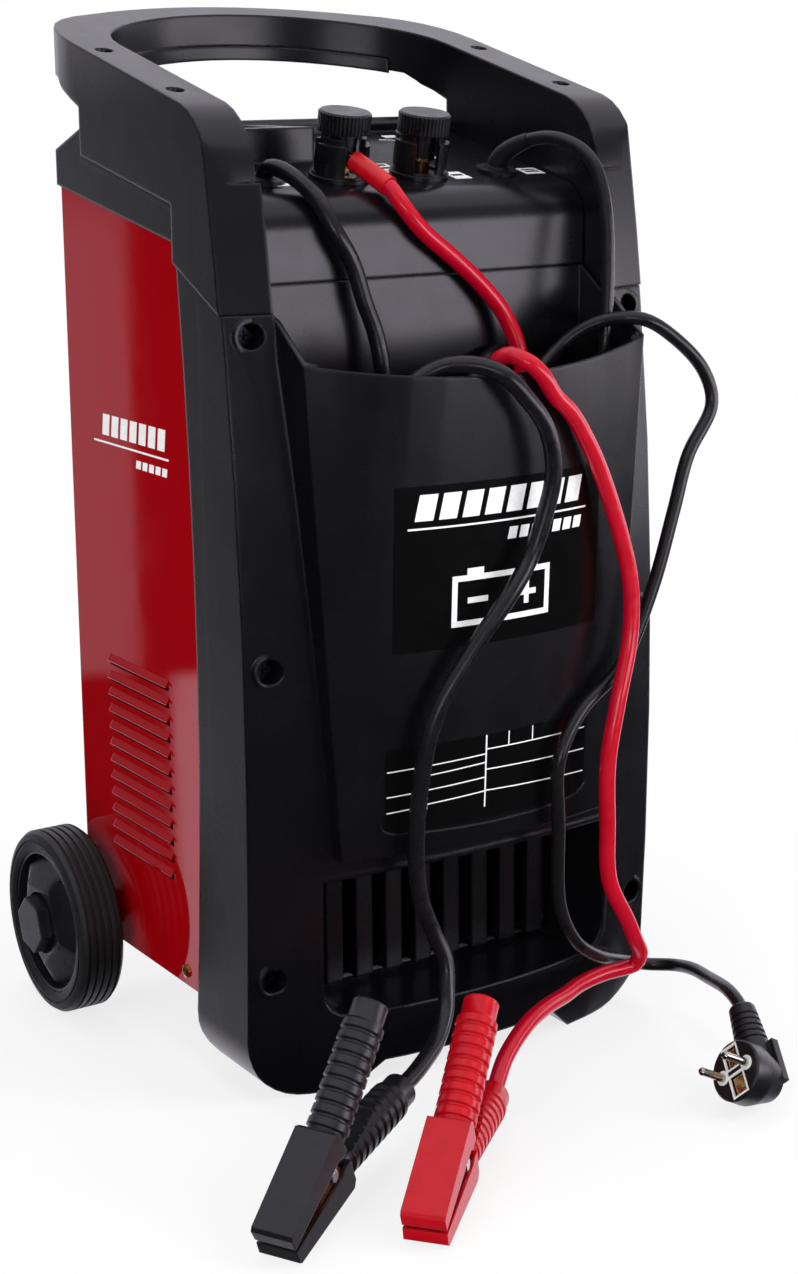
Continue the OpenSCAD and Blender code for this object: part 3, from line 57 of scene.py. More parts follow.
right = Vector((0.84214, -0.53914, -0.01106))
up = Vector((0.12225, 0.17089, 0.97768))
forward = Vector((0.52521, 0.82470, -0.20982))
cam_data = bpy.data.cameras.new("view")
cam_data.sensor_width = SENSOR
cam_data.lens = SENSOR * FOCAL / FRAME_H
cam_data.shift_x = (FRAME_W / 2 - AHEAD[0]) / FRAME_H
cam_data.shift_y = (AHEAD[1] - FRAME_H / 2) / FRAME_H
cam_data.clip_start = 0.05
cam_data.clip_end = 60
camera = bpy.data.objects.new("view", cam_data)
turn = Matrix((right, up, -forward)).transposed().to_4x4()
camera.matrix_world = Matrix.Translation((-0.7356, -1.1859, 0.5936)) @ turn
scene.collection.objects.link(camera)
scene.camera = camera
scene.view_settings.view_transform = "Standard"

# ------------------------------------------------------------ routes of the cords, in metres


def metres(points):
    return [Vector(p) / 1000 for p in points]


BLACK = metres([
    (-82, -38.6, 533.5), (-82, -42, 537.5), (-81.6, -48, 538.8), (-79, -58, 536.5),
    (-72, -79, 523), (-65, -88, 504), (-54, -89, 485), (-48, -91, 464), (-42, -93, 446),
    (-39, -95, 427), (-38, -97, 385), (-46, -106, 330), (-66, -118, 306), (-84, -132, 340),
    (-78, -143, 385), (-58, -148, 418), (-40, -154, 431), (-24, -167, 433), (-12, -176, 428),
    (3, -179, 413), (16, -179, 396), (23, -177, 370), (18, -174, 342), (11, -172, 322),
    (-3, -173, 303), (-28, -169, 271), (-50, -164, 234), (-58, -158, 180), (-56, -155, 130),
    (-46, -154, 103), (-39, -157, 84), (-41, -161, 70), (-46, -167, 57), (-59, -177, 46),
    (-76, -189, 42), (-90, -198, 40), (-101, -204, 39), (-108, -208, 38)])
RED = metres([
    (-26, -66, 534), (-22, -78, 527), (-17, -85, 516), (-5, -88, 501), (18, -88, 483),
    (36, -89, 467), (50, -91, 450), (58, -96, 426), (59, -98, 380), (42, -100, 324),
    (12, -112, 316), (-8, -126, 342), (-9, -140, 392), (2, -158, 435), (9, -169, 433),
    (18, -172, 425), (28, -171, 412), (41, -169, 401), (55, -167, 382), (67, -165, 361),
    (84, -163, 320), (91, -163, 292), (90, -164, 262), (79, -167, 224), (72, -167, 188),
    (76, -162, 148), (81, -158, 109), (98, -155, 78), (107, -152, 62), (115, -147, 50),
    (115, -142, 41), (105, -141, 40), (89, -143, 41), (65, -150, 42), (48, -158, 42),
    (24, -170, 44), (0, -183, 43), (-25, -197, 34), (-42, -209, 21), (-48, -214, 21)])
MAINS = metres([
    (82, -39, 535), (84, -44.5, 542), (91, -60, 550), (99, -79, 551), (107, -98, 541),
    (111, -108, 518), (107, -117, 452), (88, -120, 345), (50, -120, 318), (16, -112, 360),
    (22, -98, 412), (53, -85, 427), (71, -91, 405), (72, -106, 372), (50, -113, 345),
    (30, -112, 375), (79, -107, 429), (98, -120, 444), (117, -137, 446.5), (140, -141, 433.5),
    (162, -143, 411.5), (166.5, -145, 392), (145, -149, 363), (133, -151, 331),
    (116, -152, 284), (92, -153, 241), (58, -158, 219), (41, -160, 193), (43, -157, 150),
    (48, -152, 98), (60, -150, 73), (84, -140, 54), (118, -125, 37), (140, -124, 29),
    (151, -136, 30), (149, -156, 35), (142, -180, 39), (127, -218, 46), (121, -235, 43),
    (118, -242, 38)])

# ------------------------------------------------------------ materials


def new_material(name):
    mat = bpy.data.materials.new(name)
    mat.use_nodes = True
    nt = mat.node_tree
    return mat, nt, nt.nodes["Principled BSDF"]


def add(nt, kind, **values):
    node = nt.nodes.new(kind)
    for key, value in values.items():
        if key in node.inputs:
            node.inputs[key].default_value = value
        else:
            setattr(node, key, value)
    return node


def place(nt):
    return add(nt, "ShaderNodeTexCoord").outputs["Object"]


def noise(nt, scale, detail=3, rough=0.5):
    node = add(nt, "ShaderNodeTexNoise", Scale=scale, Detail=detail, Roughness=rough)
    nt.links.new(place(nt), node.inputs["Vector"])
    return node.outputs["Fac"]


def ramp(nt, fac, low, high):
    """Blends two colours over the middle of a noise's range."""
    node = add(nt, "ShaderNodeValToRGB")
    for stop, position, colour in zip(node.color_ramp.elements, (0.35, 0.65), (low, high)):
        stop.position = position
        stop.color = colour
    nt.links.new(fac, node.inputs["Fac"])
    return node.outputs["Color"]


def bump(nt, shader, height, distance, edge=0.0):
    """A fine relief, over edges that the finish rounds by the given radius."""
    node = add(nt, "ShaderNodeBump", Distance=distance, Strength=1.0)
    if edge:
        soft = add(nt, "ShaderNodeBevel", samples=6, Radius=edge)
        nt.links.new(soft.outputs["Normal"], node.inputs["Normal"])
    nt.links.new(height, node.inputs["Height"])
    nt.links.new(node.outputs["Normal"], shader.inputs["Normal"])


def mapped(nt, source, low, high, start, end, kind="SMOOTHSTEP"):
    """A step from one value to another while the source goes from low to high."""
    node = add(nt, "ShaderNodeMapRange", interpolation_type=kind)
    nt.links.new(source, node.inputs["Value"])
    for key, value in (("From Min", low), ("From Max", high), ("To Min", start), ("To Max", end)):
        node.inputs[key].default_value = value
    return node.outputs[0]


def both(nt, kind, a, b):
    """Two values joined by an operation."""
    node = add(nt, "ShaderNodeMath", operation=kind)
    nt.links.new(a, node.inputs[0])
    nt.links.new(b, node.inputs[1])
    return node.outputs[0]


def blend(nt, share, first, second):
    """The first shader, with the given share of the second."""
    node = add(nt, "ShaderNodeMixShader")
    for socket, source in zip(node.inputs, (share, first, second)):
        nt.links.new(source, socket)
    return node.outputs[0]


def grey(v):
    return (v, v, v, 1)


def surface(name, dark, light, rough, patch=60, grain=1600, depth=0.000005, specular=0.5,
            spread=0.05, edge=0.0):
    """A finish with slow colour patches, uneven gloss and a fine grain."""
    mat, nt, shader = new_material(name)
    slow = noise(nt, patch, 4)
    nt.links.new(ramp(nt, slow, (*dark, 1), (*light, 1)), shader.inputs["Base Color"])
    mottle = ramp(nt, noise(nt, patch * 2.7, 5), grey(rough - spread), grey(rough + spread))
    nt.links.new(mottle, shader.inputs["Roughness"])
    bump(nt, shader, noise(nt, grain, 2, 0.6), depth, edge=edge)
    shader.inputs["Specular IOR Level"].default_value = specular
    return mat


PLASTIC = surface("moulded_plastic", (0.0024, 0.0023, 0.0033), (0.0033, 0.0031, 0.0044), 0.27,
                  patch=14, grain=1500, depth=0.000005, spread=0.015, edge=0.0024)
HUB = surface("hub_plastic", (0.0060, 0.0058, 0.0072), (0.0085, 0.0082, 0.0100), 0.30,
              patch=40, grain=1500, edge=0.0012)
FINE = surface("fine_plastic", (0.0030, 0.0029, 0.0038), (0.0042, 0.0041, 0.0052), 0.30,
               patch=40, grain=1500, edge=0.0006)
DARK = surface("dark_plastic", (0.0036, 0.0035, 0.0042), (0.0052, 0.0051, 0.0060), 0.45,
               specular=0.4)
GLOSSY = surface("label_gloss", (0.0026, 0.0024, 0.0026), (0.0032, 0.0030, 0.0032), 0.16,
                 spread=0.02, grain=500, depth=0.000002, specular=0.3)
PAINT = surface("red_paint", (0.285, 0.0003, 0.0028), (0.305, 0.0005, 0.0036), 0.035, patch=10,
                grain=260, depth=0.0000012, spread=0.01, edge=0.0005)
TYRE = surface("tyre_rubber", (0.0075, 0.0072, 0.0080), (0.011, 0.0105, 0.0115), 0.5, patch=90,
               grain=900, depth=0.00002, specular=0.5, edge=0.0012)
CABLE_BLACK = surface("black_cable", (0.0046, 0.0044, 0.0054), (0.0066, 0.0063, 0.0074), 0.3,
                      patch=70, grain=1200, depth=0.000004)
CABLE_RED = surface("red_cable", (0.42, 0.0006, 0.012), (0.47, 0.0010, 0.016), 0.2, patch=70,
                    grain=1200, depth=0.000004)
GRIP_BLACK = surface("black_grip", (0.0058, 0.0056, 0.0068), (0.0085, 0.0082, 0.0096), 0.36,
                     patch=120, grain=1100, depth=0.000006, edge=0.0010)
GRIP_RED = surface("red_grip", (0.41, 0.0004, 0.006), (0.46, 0.0007, 0.008), 0.24, patch=120,
                   grain=1100, depth=0.000004, specular=0.32, spread=0.02, edge=0.0010)
SLEEVE = surface("sleeve", (0.42, 0.0010, 0.0050), (0.48, 0.0018, 0.0075), 0.32, patch=160,
                 grain=500, depth=0.00002)
WHITE = surface("white_plastic", (0.74, 0.74, 0.72), (0.80, 0.80, 0.78), 0.35, patch=90)
PRINT = surface("white_print", (0.80, 0.80, 0.80), (0.88, 0.88, 0.88), 0.4, patch=400, grain=2500)
NEEDLE = surface("needle_red", (0.62, 0.01, 0.008), (0.70, 0.016, 0.01), 0.35)


def metal(name, dark, light, rough, stretch=(1, 1, 1), scale=500, depth=0.000004):
    """Metal with drawn or cut streaks along one direction."""
    mat, nt, shader = new_material(name)
    shift = add(nt, "ShaderNodeMapping", Scale=stretch)
    nt.links.new(place(nt), shift.inputs["Vector"])
    tex = add(nt, "ShaderNodeTexNoise", Scale=scale, Detail=4)
    nt.links.new(shift.outputs["Vector"], tex.inputs["Vector"])
    nt.links.new(ramp(nt, noise(nt, 90, 3), (*dark, 1), (*light, 1)), shader.inputs["Base Color"])
    nt.links.new(ramp(nt, tex.outputs["Fac"], grey(rough - 0.04), grey(rough + 0.05)),
                 shader.inputs["Roughness"])
    bump(nt, shader, tex.outputs["Fac"], depth)
    shader.inputs["Metallic"].default_value = 1.0
    return mat


STEEL = metal("plated_steel", (0.58, 0.59, 0.60), (0.70, 0.71, 0.72), 0.24)
BRASS = metal("brass", (0.66, 0.44, 0.16), (0.80, 0.58, 0.26), 0.26)
COPPER = metal("copper_plate", (0.62, 0.25, 0.09), (0.78, 0.36, 0.16), 0.3, (1, 1, 6), 260)
CORE = metal("laminations", (0.22, 0.22, 0.23), (0.30, 0.30, 0.32), 0.5, (1, 60, 1), 12, 0.0001)
NICKEL = metal("nickel", (0.42, 0.37, 0.31), (0.55, 0.50, 0.43), 0.22)
# The front screws sit deep in their holes; their near-black colour is painted shade of those holes
SCREW_IN_SHADE = metal("screw_painted_shade", (0.012, 0.012, 0.014), (0.022, 0.022, 0.025), 0.3)
ALUMINIUM = metal("aluminium", (0.68, 0.69, 0.70), (0.78, 0.79, 0.80), 0.32, (1, 1, 12), 200)

WINDOW, nt, shader = new_material("clear_window")
shader.inputs["Transmission Weight"].default_value = 1.0
shader.inputs["IOR"].default_value = 1.46
nt.links.new(ramp(nt, noise(nt, 40, 3), grey(0.02), grey(0.07)), shader.inputs["Roughness"])
nt.links.new(ramp(nt, noise(nt, 15, 2), (0.93, 0.96, 0.98, 1), (0.97, 0.99, 1.0, 1)),
             shader.inputs["Base Color"])


# ------------------------------------------------------------ helpers for pieces

# Faces that meet at more than this angle keep a sharp edge between them
SHARP = math.radians(30)


def mesh_object(name, mesh, mat, body):
    obj = bpy.data.objects.new(name, mesh)
    scene.collection.objects.link(obj)
    mesh.materials.clear()
    mesh.materials.append(mat)
    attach(obj, body)
    return obj


def from_bmesh(name, bm, mat):
    """A flat-faced piece of the body itself."""
    mesh = bpy.data.meshes.new(name)
    bm.to_mesh(mesh)
    bm.free()
    mesh_object(name, mesh, mat, "charger")


def dressed(name, mat):
    """A copy of a CAD node that keeps its sharp edges, standing for it."""
    mesh = nodes[name].data.copy()
    mesh.name = name + "_skin"
    for attribute in list(mesh.attributes):
        if attribute.name == "custom_normal":
            mesh.attributes.remove(attribute)
    bm = bmesh.new()
    bm.from_mesh(mesh)
    bmesh.ops.remove_doubles(bm, verts=bm.verts, dist=0.00002)
    bmesh.ops.dissolve_degenerate(bm, edges=bm.edges, dist=0.00001)
    for face in bm.faces:
        face.smooth = True
    for edge in bm.edges:
        edge.smooth = len(edge.link_faces) == 2 and edge.calc_face_angle() < SHARP
    bm.to_mesh(mesh)
    bm.free()
    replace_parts(mesh_object(name + "_skin", mesh, mat, home[name]), name)


def finish_node(name, mat):
    """A CAD node that is shown as it is."""
    materials = nodes[name].data.materials
    materials.clear()
    materials.append(mat)


# ------------------------------------------------------------ CAD nodes

for name in ("front_shell", "top_cover", "handle", "handle_grip"):
    dressed(name, PLASTIC)
dressed("steel_housing", PAINT)
dressed("terminal_guards", FINE)
for side in ("left", "right"):
    dressed(side + "_cap", FINE)
    dressed(side + "_wheel_hub", HUB)
    dressed(side + "_hub_cap", HUB)
    dressed(side + "_tyre", TYRE)
    finish_node(side + "_washer", BRASS)
for colour, grip in (("black", GRIP_BLACK), ("red", GRIP_RED)):
    for half in ("base", "top"):
        dressed(f"{colour}_{half}_grip", grip)
        finish_node(f"{colour}_{half}_jaw", COPPER)
dressed("plug_body", GRIP_BLACK)
dressed("lead_gland", DARK)
dressed("mains_gland", DARK)
dressed("selector_knob", FINE)
dressed("fuse_cap", FINE)
dressed("base_plate", STEEL)
dressed("red_sleeve", SLEEVE)

PLAIN = {
    "front_screws": SCREW_IN_SHADE, "housing_screws": BRASS, "axle_brackets": STEEL, "axle": STEEL,
    "axle_clips": STEEL, "handle_screws": BRASS, "terminal_studs": BRASS, "red_lug": COPPER,
    "meter_case": DARK, "meter_dial": WHITE, "meter_needle": NEEDLE, "meter_window": WINDOW,
    "selector_switch": DARK, "fuse_holder": DARK, "transformer_core": CORE,
    "transformer_winding": COPPER, "rectifier_sink": ALUMINIUM, "rectifier_diodes": STEEL,
    "thermal_cutout": DARK, "fan_frame": DARK, "fan_rotor": PLASTIC, "clamp_pins": STEEL,
    "plug_insert": WHITE, "plug_pins": NICKEL, "plug_earth": BRASS,
}
for name, mat in PLAIN.items():
    finish_node(name, mat)


def board(name, low, high, mat):
    """A plain panel between two corners in millimetres."""
    bm = bmesh.new()
    bmesh.ops.create_cube(bm, size=1.0)
    for vert in bm.verts:
        vert.co = [(b if c > 0 else a) / 1000 for c, a, b in zip(vert.co, low, high)]
    from_bmesh(name, bm, mat)


# A dark board inside, behind the slots of the front vent: painted shade, so that the vent looks
# dark inside
board("vent_shade_board", (-98, -68, 50), (98, -66, 136), DARK)

# ------------------------------------------------------------ cords

# Distance between two points along a cord
STEP = 0.004


def spline_points(route):
    """Centripetal curve through the route, in even steps."""
    pts = [2 * route[0] - route[1]] + list(route) + [2 * route[-1] - route[-2]]
    fine = []
    for i in range(1, len(pts) - 2):
        p0, p1, p2, p3 = pts[i - 1:i + 3]
        t1 = (p1 - p0).length ** 0.5
        t2 = t1 + (p2 - p1).length ** 0.5
        t3 = t2 + (p3 - p2).length ** 0.5
        for k in range(12):
            t = t1 + (t2 - t1) * k / 12
            a1 = p0 * ((t1 - t) / t1) + p1 * (t / t1)
            a2 = p1 * ((t2 - t) / (t2 - t1)) + p2 * ((t - t1) / (t2 - t1))
            a3 = p2 * ((t3 - t) / (t3 - t2)) + p3 * ((t - t2) / (t3 - t2))
            b1 = a1 * ((t2 - t) / t2) + a2 * (t / t2)
            b2 = a2 * ((t3 - t) / (t3 - t1)) + a3 * ((t - t1) / (t3 - t1))
            fine.append(b1 * ((t2 - t) / (t2 - t1)) + b2 * ((t - t1) / (t2 - t1)))
    fine.append(route[-1])
    out, left = [fine[0]], STEP
    for a, b in zip(fine, fine[1:]):
        span = (b - a).length
        while span > left:
            a = a.lerp(b, left / span)
            out.append(a)
            span = (b - a).length
            left = STEP
        left -= span
    if (out[-1] - route[-1]).length > STEP * 0.4:
        out.append(route[-1])
    return out


def tube(name, points, radius, mat, rounding=5):
    """A round strand of the body itself along the points."""
    data = bpy.data.curves.new(name, "CURVE")
    data.dimensions = "3D"
    data.bevel_depth = radius
    data.bevel_resolution = rounding
    data.use_fill_caps = True
    line = data.splines.new("POLY")
    line.points.add(len(points) - 1)
    for p, q in zip(line.points, points):
        p.co = (*q, 1)
    line.use_smooth = True
    data.materials.append(mat)
    obj = bpy.data.objects.new(name, data)
    scene.collection.objects.link(obj)
    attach(obj, "charger")
    return obj


def boot(name, line, length, start, end, mat):
    """A strain relief round the first part of a cord, tapered from start to end radius."""
    piece = tube(name, line[:math.ceil(length / STEP) + 1], 1.0, mat)
    points = piece.data.splines[0].points
    for i, point in enumerate(points):
        point.radius = start + (end - start) * i / (len(points) - 1)


def grips_of(colour):
    return [bpy.data.objects[f"{colour}_{h}_grip_skin"] for h in ("base", "top")] + [
        nodes[f"{colour}_{h}_jaw"] for h in ("base", "top")]


for name, route, dia, mat, slot, far, extra in (
        ("black_lead", BLACK, 0.010, CABLE_BLACK, "black_rubber", "connector",
         grips_of("black") + [nodes["clamp_pins"]]),
        ("red_lead", RED, 0.010, CABLE_RED, "red_rubber", "connector", grips_of("red")),
        ("mains_cord", MAINS, 0.0082, CABLE_BLACK, "black_rubber", "plug",
         [bpy.data.objects["plug_body_skin"], nodes["plug_insert"], nodes["plug_pins"],
          nodes["plug_earth"]])):
    line = spline_points(route)
    piece = tube(name + "_run", line, dia / 2, mat)
    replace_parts(piece, name)

boot("mains_boot", spline_points(MAINS), 0.026, 0.0066, 0.0046, DARK)

# ------------------------------------------------------------ printed marks and plates

# Where the left side of the steel housing is, and which way the control deck faces
SIDE_X = -0.144
DECK_FACES = Vector((0, -0.208, 0.978))
# How far plates and white prints stand off the face that they lie on
PLATE_LIFT = 0.00015
PRINT_LIFT = 0.0003
UNDER_LIFT = 0.00001
TREES = {}


def cast(node, origin, way):
    """Where a ray meets a CAD node."""
    if node not in TREES:
        mesh = nodes[node].data
        TREES[node] = BVHTree.FromPolygons([v.co for v in mesh.vertices],
                                           [tuple(p.vertices) for p in mesh.polygons])
    return TREES[node].ray_cast(Vector(origin), Vector(way))[0]


def on_front(u, v, lift):
    return cast("front_shell", (u, -0.4, v), (0, 1, 0)) - Vector((0, lift, 0))


def on_deck(u, v, lift):
    return cast("top_cover", (u, v, 0.72), (0, 0, -1)) + DECK_FACES * lift


def on_side(u, v, lift):
    return Vector((SIDE_X - lift, u, v))


def printed(name, quads, spot, mat, lift, cell=0.006):
    """Thin printed shapes, each of four corners in millimetres, laid over a face."""
    bm = bmesh.new()
    for quad in quads:
        a, b, c, d = (Vector(p) / 1000 for p in quad)
        across = max(1, math.ceil(max((b - a).length, (c - d).length) / cell))
        along = max(1, math.ceil(max((d - a).length, (c - b).length) / cell))
        top, low = {}, {}
        for i in range(across + 1):
            for j in range(along + 1):
                p = a.lerp(b, i / across).lerp(d.lerp(c, i / across), j / along)
                top[i, j] = bm.verts.new(spot(p.x, p.y, lift))
                low[i, j] = bm.verts.new(spot(p.x, p.y, UNDER_LIFT))
        for i in range(across):
            for j in range(along):
                ring = [(i, j), (i + 1, j), (i + 1, j + 1), (i, j + 1)]
                bm.faces.new([top[k] for k in ring])
                bm.faces.new([low[k] for k in ring[::-1]])
        rim = ([(i, 0) for i in range(across + 1)] + [(across, j) for j in range(1, along + 1)]
               + [(i, along) for i in range(across - 1, -1, -1)]
               + [(0, j) for j in range(along - 1, 0, -1)])
        for k, m in zip(rim, rim[1:] + rim[:1]):
            bm.faces.new((top[m], top[k], low[k], low[m]))
    bmesh.ops.recalc_face_normals(bm, faces=bm.faces)
    from_bmesh(name, bm, mat)


def box_mark(x0, x1, z0, z1, slant=0):
    """A printed bar, its top pushed sideways by the slant."""
    return [(x0, z0), (x1, z0), (x1 + slant, z1), (x0 + slant, z1)]


def rule(p, q, wide):
    """A straight printed line between two points."""
    side = Vector((p[1] - q[1], q[0] - p[0])).normalized() * wide / 2
    p, q = Vector(p), Vector(q)
    return [tuple(p - side), tuple(q - side), tuple(q + side), tuple(p + side)]


def gauge(x0, z0, high, count, wide, gap, slant):
    """A row of equal bars."""
    return [box_mark(x0 + i * (wide + gap), x0 + i * (wide + gap) + wide, z0, z0 + high, slant)
            for i in range(count)]


def battery(x0, z0, wide, high, line):
    """The outline of a battery with its two posts and their signs."""
    x1, z1 = x0 + wide, z0 + high
    post = wide * 0.16
    quads = [box_mark(x0, x1, z0, z0 + line), box_mark(x0, x1, z1 - line, z1),
             box_mark(x0, x0 + line, z0 + line, z1 - line),
             box_mark(x1 - line, x1, z0 + line, z1 - line)]
    for x in (x0 + wide * 0.14, x1 - wide * 0.14 - post):
        quads.append(box_mark(x, x + post, z1, z1 + high * 0.13))
    mid, arm = z0 + high * 0.5, wide * 0.1
    left, far = x0 + wide * 0.25, x1 - wide * 0.25
    quads.append(box_mark(left - arm, left + arm, mid - line / 2, mid + line / 2))
    quads.append(box_mark(far - arm, far + arm, mid - line / 2, mid + line / 2))
    quads.append(box_mark(far - line / 2, far + line / 2, mid + line / 2, mid + arm))
    quads.append(box_mark(far - line / 2, far + line / 2, mid - arm, mid - line / 2))
    return quads


printed("front_panel", [box_mark(-70, 74, 271, 367)], on_front, GLOSSY, PLATE_LIFT, 0.008)
marks = gauge(-58, 347, 15, 8, 11, 3.6, 3) + [rule((-62, 342.5), (62, 342.5), 1.1)]
marks += gauge(2, 331, 7, 7, 6, 2.2, 1.4) + battery(-34, 283, 68, 30, 3.4)
printed("front_marks", marks, on_front, PRINT, PRINT_LIFT)
printed("rating_plate", [[(-73, 167), (-66, 163.6), (-66, 215), (-73, 214.5)],
                         [(-66, 163.6), (62, 163.6), (62, 216), (-66, 215)],
                         [(62, 163.6), (69.5, 168), (69.5, 216), (62, 216)]],
        on_front, GLOSSY, PLATE_LIFT, 0.008)
lines = [rule((-72, 201.5), (-8, 203.6), 0.7), rule((-8, 206.4), (68, 205.6), 0.7),
         rule((-72, 186.4), (-47, 187.4), 0.7), rule((-72, 176.8), (-47, 178.2), 0.7),
         rule((-47, 196.4), (-8, 198.4), 0.7), rule((-47, 187.6), (-8, 189.3), 0.7),
         rule((-47, 179), (-8, 180.8), 0.7), rule((-8, 194), (68, 192), 0.7),
         rule((-8, 181), (68, 178), 0.7), rule((-47, 214), (-47, 176), 0.7),
         rule((-8, 215), (-8, 171), 0.9), rule((8, 215), (8, 206.4), 0.7),
         rule((25.6, 215), (25.6, 206), 0.7)]
printed("rating_lines", lines, on_front, PRINT, PRINT_LIFT)
rim = [(-76, 171), (-75, 167.5), (-72, 165), (-66, 163.2), (-50, 162), (-25, 161), (0, 160.6),
       (25, 161), (48, 162.2), (60, 164), (66, 166.4), (69.5, 170)]
fine = []
for a, b in zip(rim, rim[1:]):
    fine += [Vector(a).lerp(Vector(b), k / 3) / 1000 for k in range(3)]
fine.append(Vector(rim[-1]) / 1000)
rim_line = [on_front(p.x, p.y, 0.0001) for p in fine]
tube("rating_rim", rim_line, 0.0008, PLASTIC, 3)

deck_marks = [box_mark(8, 19, -33, -10), box_mark(44, 56, -50, -35), box_mark(-80, -66, -50, -45),
              box_mark(50, 60, 6, 24), rule((62, -12), (64, 24), 1.6),
              box_mark(100, 114, -46, -33), box_mark(60, 70, 52, 58), rule((52, 48), (66, 44), 1.2)]
printed("deck_marks", deck_marks, on_deck, PRINT, 0.00025)
deck_bars = [box_mark(10, 17, -30, -27), box_mark(10, 17, -22, -19), box_mark(10, 17, -15, -12),
             box_mark(46, 54, -44, -41), box_mark(102, 112, -42.5, -40),
             box_mark(102, 112, -38, -36)]
printed("deck_bars", deck_bars, on_deck, GLOSSY, 0.0004)
printed("side_marks", gauge(-24, 377, 13, 7, 9, 3.2, -2) + [rule((-29, 372.5), (70, 372.5), 1.2)]
        + gauge(-26, 362, 5, 5, 6, 2.4, -1), on_side, PRINT, PLATE_LIFT, 0.05)

# ------------------------------------------------------------ clamp springs

# For each clamp: where its tip lies in millimetres, its turn and its rise in degrees
CLAMPS = {"black": ((-220.4, -270.2, 9.7), 29, 22.2), "red": ((-148.6, -298.4, 10), 40, 14.6)}
# The jaws' own slope in degrees, then the coil in metres: place, radius, width and wire
JAW_SLOPE = 4.7
COIL_AT, COIL_R, COIL_WIDE, WIRE_R = 0.0474, 0.0036, 0.0092, 0.00065
COIL_STEPS = 120


def clamp_frame(place_at, yaw, rise):
    return (Matrix.Translation(Vector(place_at) / 1000)
            @ Matrix.Rotation(math.radians(yaw), 4, "Z")
            @ Matrix.Rotation(math.radians(-rise - JAW_SLOPE), 4, "Y"))


for colour, (where, yaw, rise) in CLAMPS.items():
    at = clamp_frame(where, yaw, rise)
    coil = []
    for k in range(COIL_STEPS + 1):
        angle = k * math.pi / 12
        coil.append(at @ Vector((COIL_AT + COIL_R * math.cos(angle),
                                 COIL_WIDE * (k / COIL_STEPS - 0.5),
                                 COIL_R * math.sin(angle))))
    spring = tube(colour + "_spring_wire", coil, WIRE_R, STEEL, 2)
    if colour == "black":
        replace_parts(spring, "clamp_springs")

# ------------------------------------------------------------ lights, floor and background

# The colour of all that is mirrored: the studio and the long lamps
MIRROR_TINT = (0.93, 0.89, 1.0)

floor_mesh = bpy.data.meshes.new("floor")
floor_mesh.from_pydata([(-9, -9, 0), (9, -9, 0), (9, 9, 0), (-9, 9, 0)], [], [(0, 1, 2, 3)])
floor = bpy.data.objects.new("floor", floor_mesh)
scene.collection.objects.link(floor)
floor.location.z = -0.0004
FLOOR, nt, shader = new_material("floor")
shader.inputs["Base Color"].default_value = (0.9, 0.9, 0.9, 1)
shader.inputs["Roughness"].default_value = 0.9
floor_mesh.materials.append(FLOOR)
# Close to the object the camera sees some of the lit floor, further out pure white.
# Mirrored rays pass through the floor to the studio.
path = add(nt, "ShaderNodeLightPath")
shine = add(nt, "ShaderNodeEmission", Strength=1.0)
seen = both(nt, "MAXIMUM", path.outputs["Is Camera Ray"], path.outputs["Is Transmission Ray"])
spot = add(nt, "ShaderNodeVectorMath", operation="LENGTH")
nt.links.new(place(nt), spot.inputs[0])
far = mapped(nt, spot.outputs["Value"], 0.25, 0.7, 0.78, 1.0, "LINEAR")
clear = blend(nt, both(nt, "MULTIPLY", seen, far), shader.outputs[0], shine.outputs[0])
through = add(nt, "ShaderNodeBsdfTransparent")
gloss = blend(nt, path.outputs["Is Glossy Ray"], clear, through.outputs[0])
nt.links.new(gloss, nt.nodes["Material Output"].inputs["Surface"])

world = bpy.data.worlds.new("studio")
scene.world = world
world.use_nodes = True
nt = world.node_tree
nt.nodes.clear()

# Reflections show the white backdrop behind the object and a dim studio before it.
way = add(nt, "ShaderNodeSeparateXYZ")
nt.links.new(add(nt, "ShaderNodeTexCoord").outputs["Generated"], way.inputs[0])
bearing = both(nt, "ARCTAN2", way.outputs["X"], way.outputs["Y"])
height = way.outputs["Z"]
# A grey strip at the left end of the backdrop, down to where the floor begins
wall = both(nt, "MULTIPLY", mapped(nt, bearing, -0.459, -0.455, 0, 0.42),
            mapped(nt, height, -0.262, -0.254, 0, 1))
wall = both(nt, "MULTIPLY", wall, mapped(nt, height, -0.075, -0.02, 1, 0.12))
# The bright floor to the left of that strip
ground = both(nt, "MULTIPLY", mapped(nt, bearing, -0.474, -0.468, 0.95, 0),
              mapped(nt, bearing, -0.56, -0.52, 0, 1))
ground = both(nt, "MULTIPLY", ground, mapped(nt, height, -0.264, -0.256, 1, 0))
# The white backdrop, from behind the object round to its right
drop = both(nt, "MULTIPLY", mapped(nt, bearing, -0.40, -0.33, 0, 1),
            mapped(nt, bearing, 1.3, 1.7, 1, 0))
left_side = both(nt, "MULTIPLY", both(nt, "MAXIMUM", wall, ground),
                 mapped(nt, bearing, -0.33, -0.30, 1, 0))
behind = both(nt, "MAXIMUM", drop, left_side)
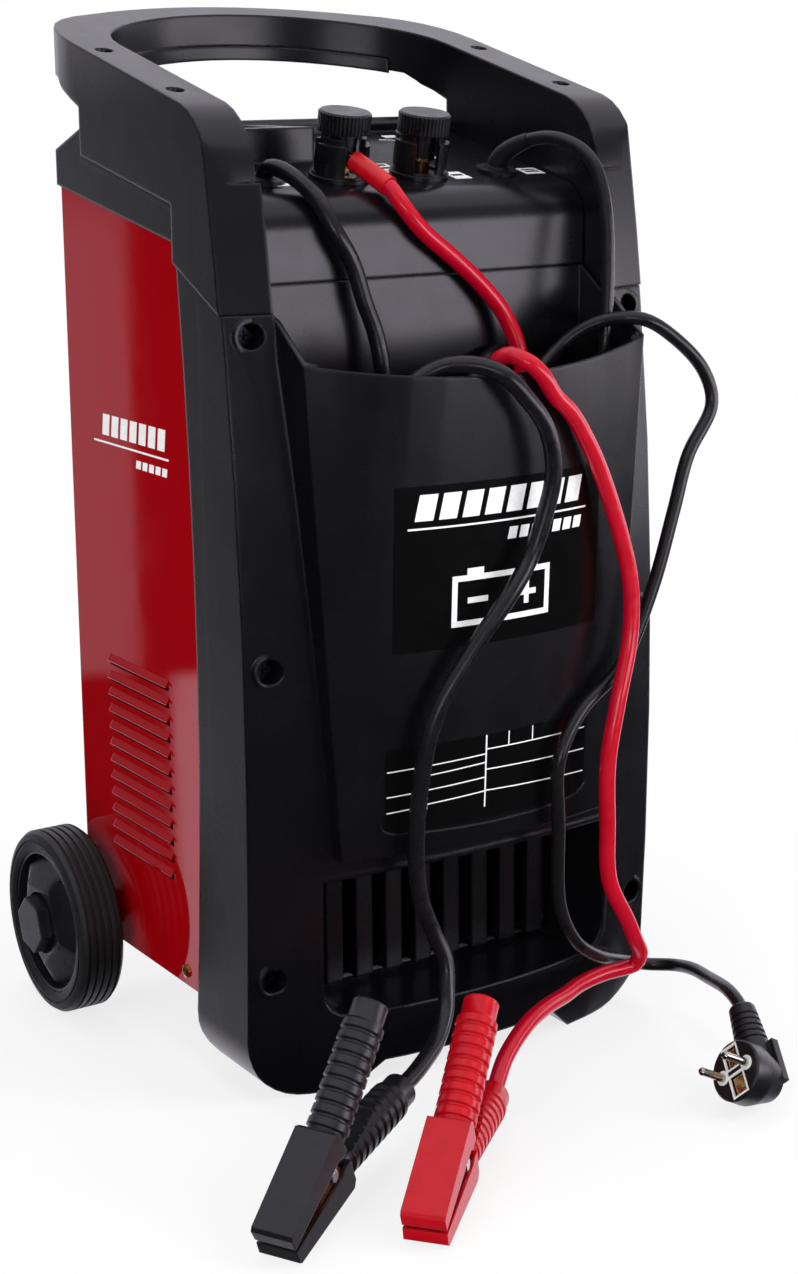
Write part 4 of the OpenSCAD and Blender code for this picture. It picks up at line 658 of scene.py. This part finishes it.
# The dim studio, and the ceiling
studio = both(nt, "MAXIMUM", behind, mapped(nt, height, -0.1, 0.5, 0.013, 0.3))
studio = both(nt, "MAXIMUM", studio, mapped(nt, height, 0.50, 0.68, 0, 0.98))

lit = add(nt, "ShaderNodeBackground", Color=(1, 1, 1, 1), Strength=0.42)
white = add(nt, "ShaderNodeBackground", Color=(1, 1, 1, 1), Strength=1.0)
mirror = add(nt, "ShaderNodeBackground", Strength=1.0)
tint = add(nt, "ShaderNodeVectorMath", operation="SCALE")
tint.inputs[0].default_value = MIRROR_TINT
nt.links.new(studio, tint.inputs["Scale"])
nt.links.new(tint.outputs[0], mirror.inputs["Color"])
path = add(nt, "ShaderNodeLightPath")
open_air = both(nt, "MAXIMUM", path.outputs["Is Camera Ray"], path.outputs["Is Transmission Ray"])
mix = blend(nt, open_air, lit.outputs[0], white.outputs[0])
last = blend(nt, path.outputs["Is Glossy Ray"], mix, mirror.outputs[0])
out = add(nt, "ShaderNodeOutputWorld")
nt.links.new(last, out.inputs["Surface"])


def softbox(name, at, look, size, power, mirrored=False):
    """A flat lamp that looks at a point; it shows in reflections only when mirrored."""
    data = bpy.data.lights.new(name, "AREA")
    data.shape = "RECTANGLE"
    data.size, data.size_y = size
    data.energy = power
    lamp = bpy.data.objects.new(name, data)
    lamp.location = at
    lamp.rotation_euler = (Vector(look) - Vector(at)).to_track_quat("-Z", "Y").to_euler()
    lamp.visible_glossy = mirrored
    data.color = MIRROR_TINT if mirrored else (1, 1, 1)
    lamp.visible_camera = False
    scene.collection.objects.link(lamp)


softbox("key", (1.5, -1.7, 1.9), (0, 0, 0.3), (1.1, 1.4), 34)
softbox("fill", (-1.9, -1.1, 1.2), (0, 0, 0.3), (1.2, 1.6), 20)
softbox("top", (0.0, 0.4, 2.4), (0, 0, 0.3), (1.6, 1.6), 26)
softbox("strip", (1.93, -2.3, 0.36), (0, 0, 0.3), (3.4, 0.9), 43, True)
softbox("right_strip", (2.99, 0.1, 0.36), (0, 0, 0.3), (2.2, 0.9), 9, True)
softbox("near_strip", (-1.3, -2.2, 0.45), (0, 0, 0.35), (1.2, 0.35), 6, True)
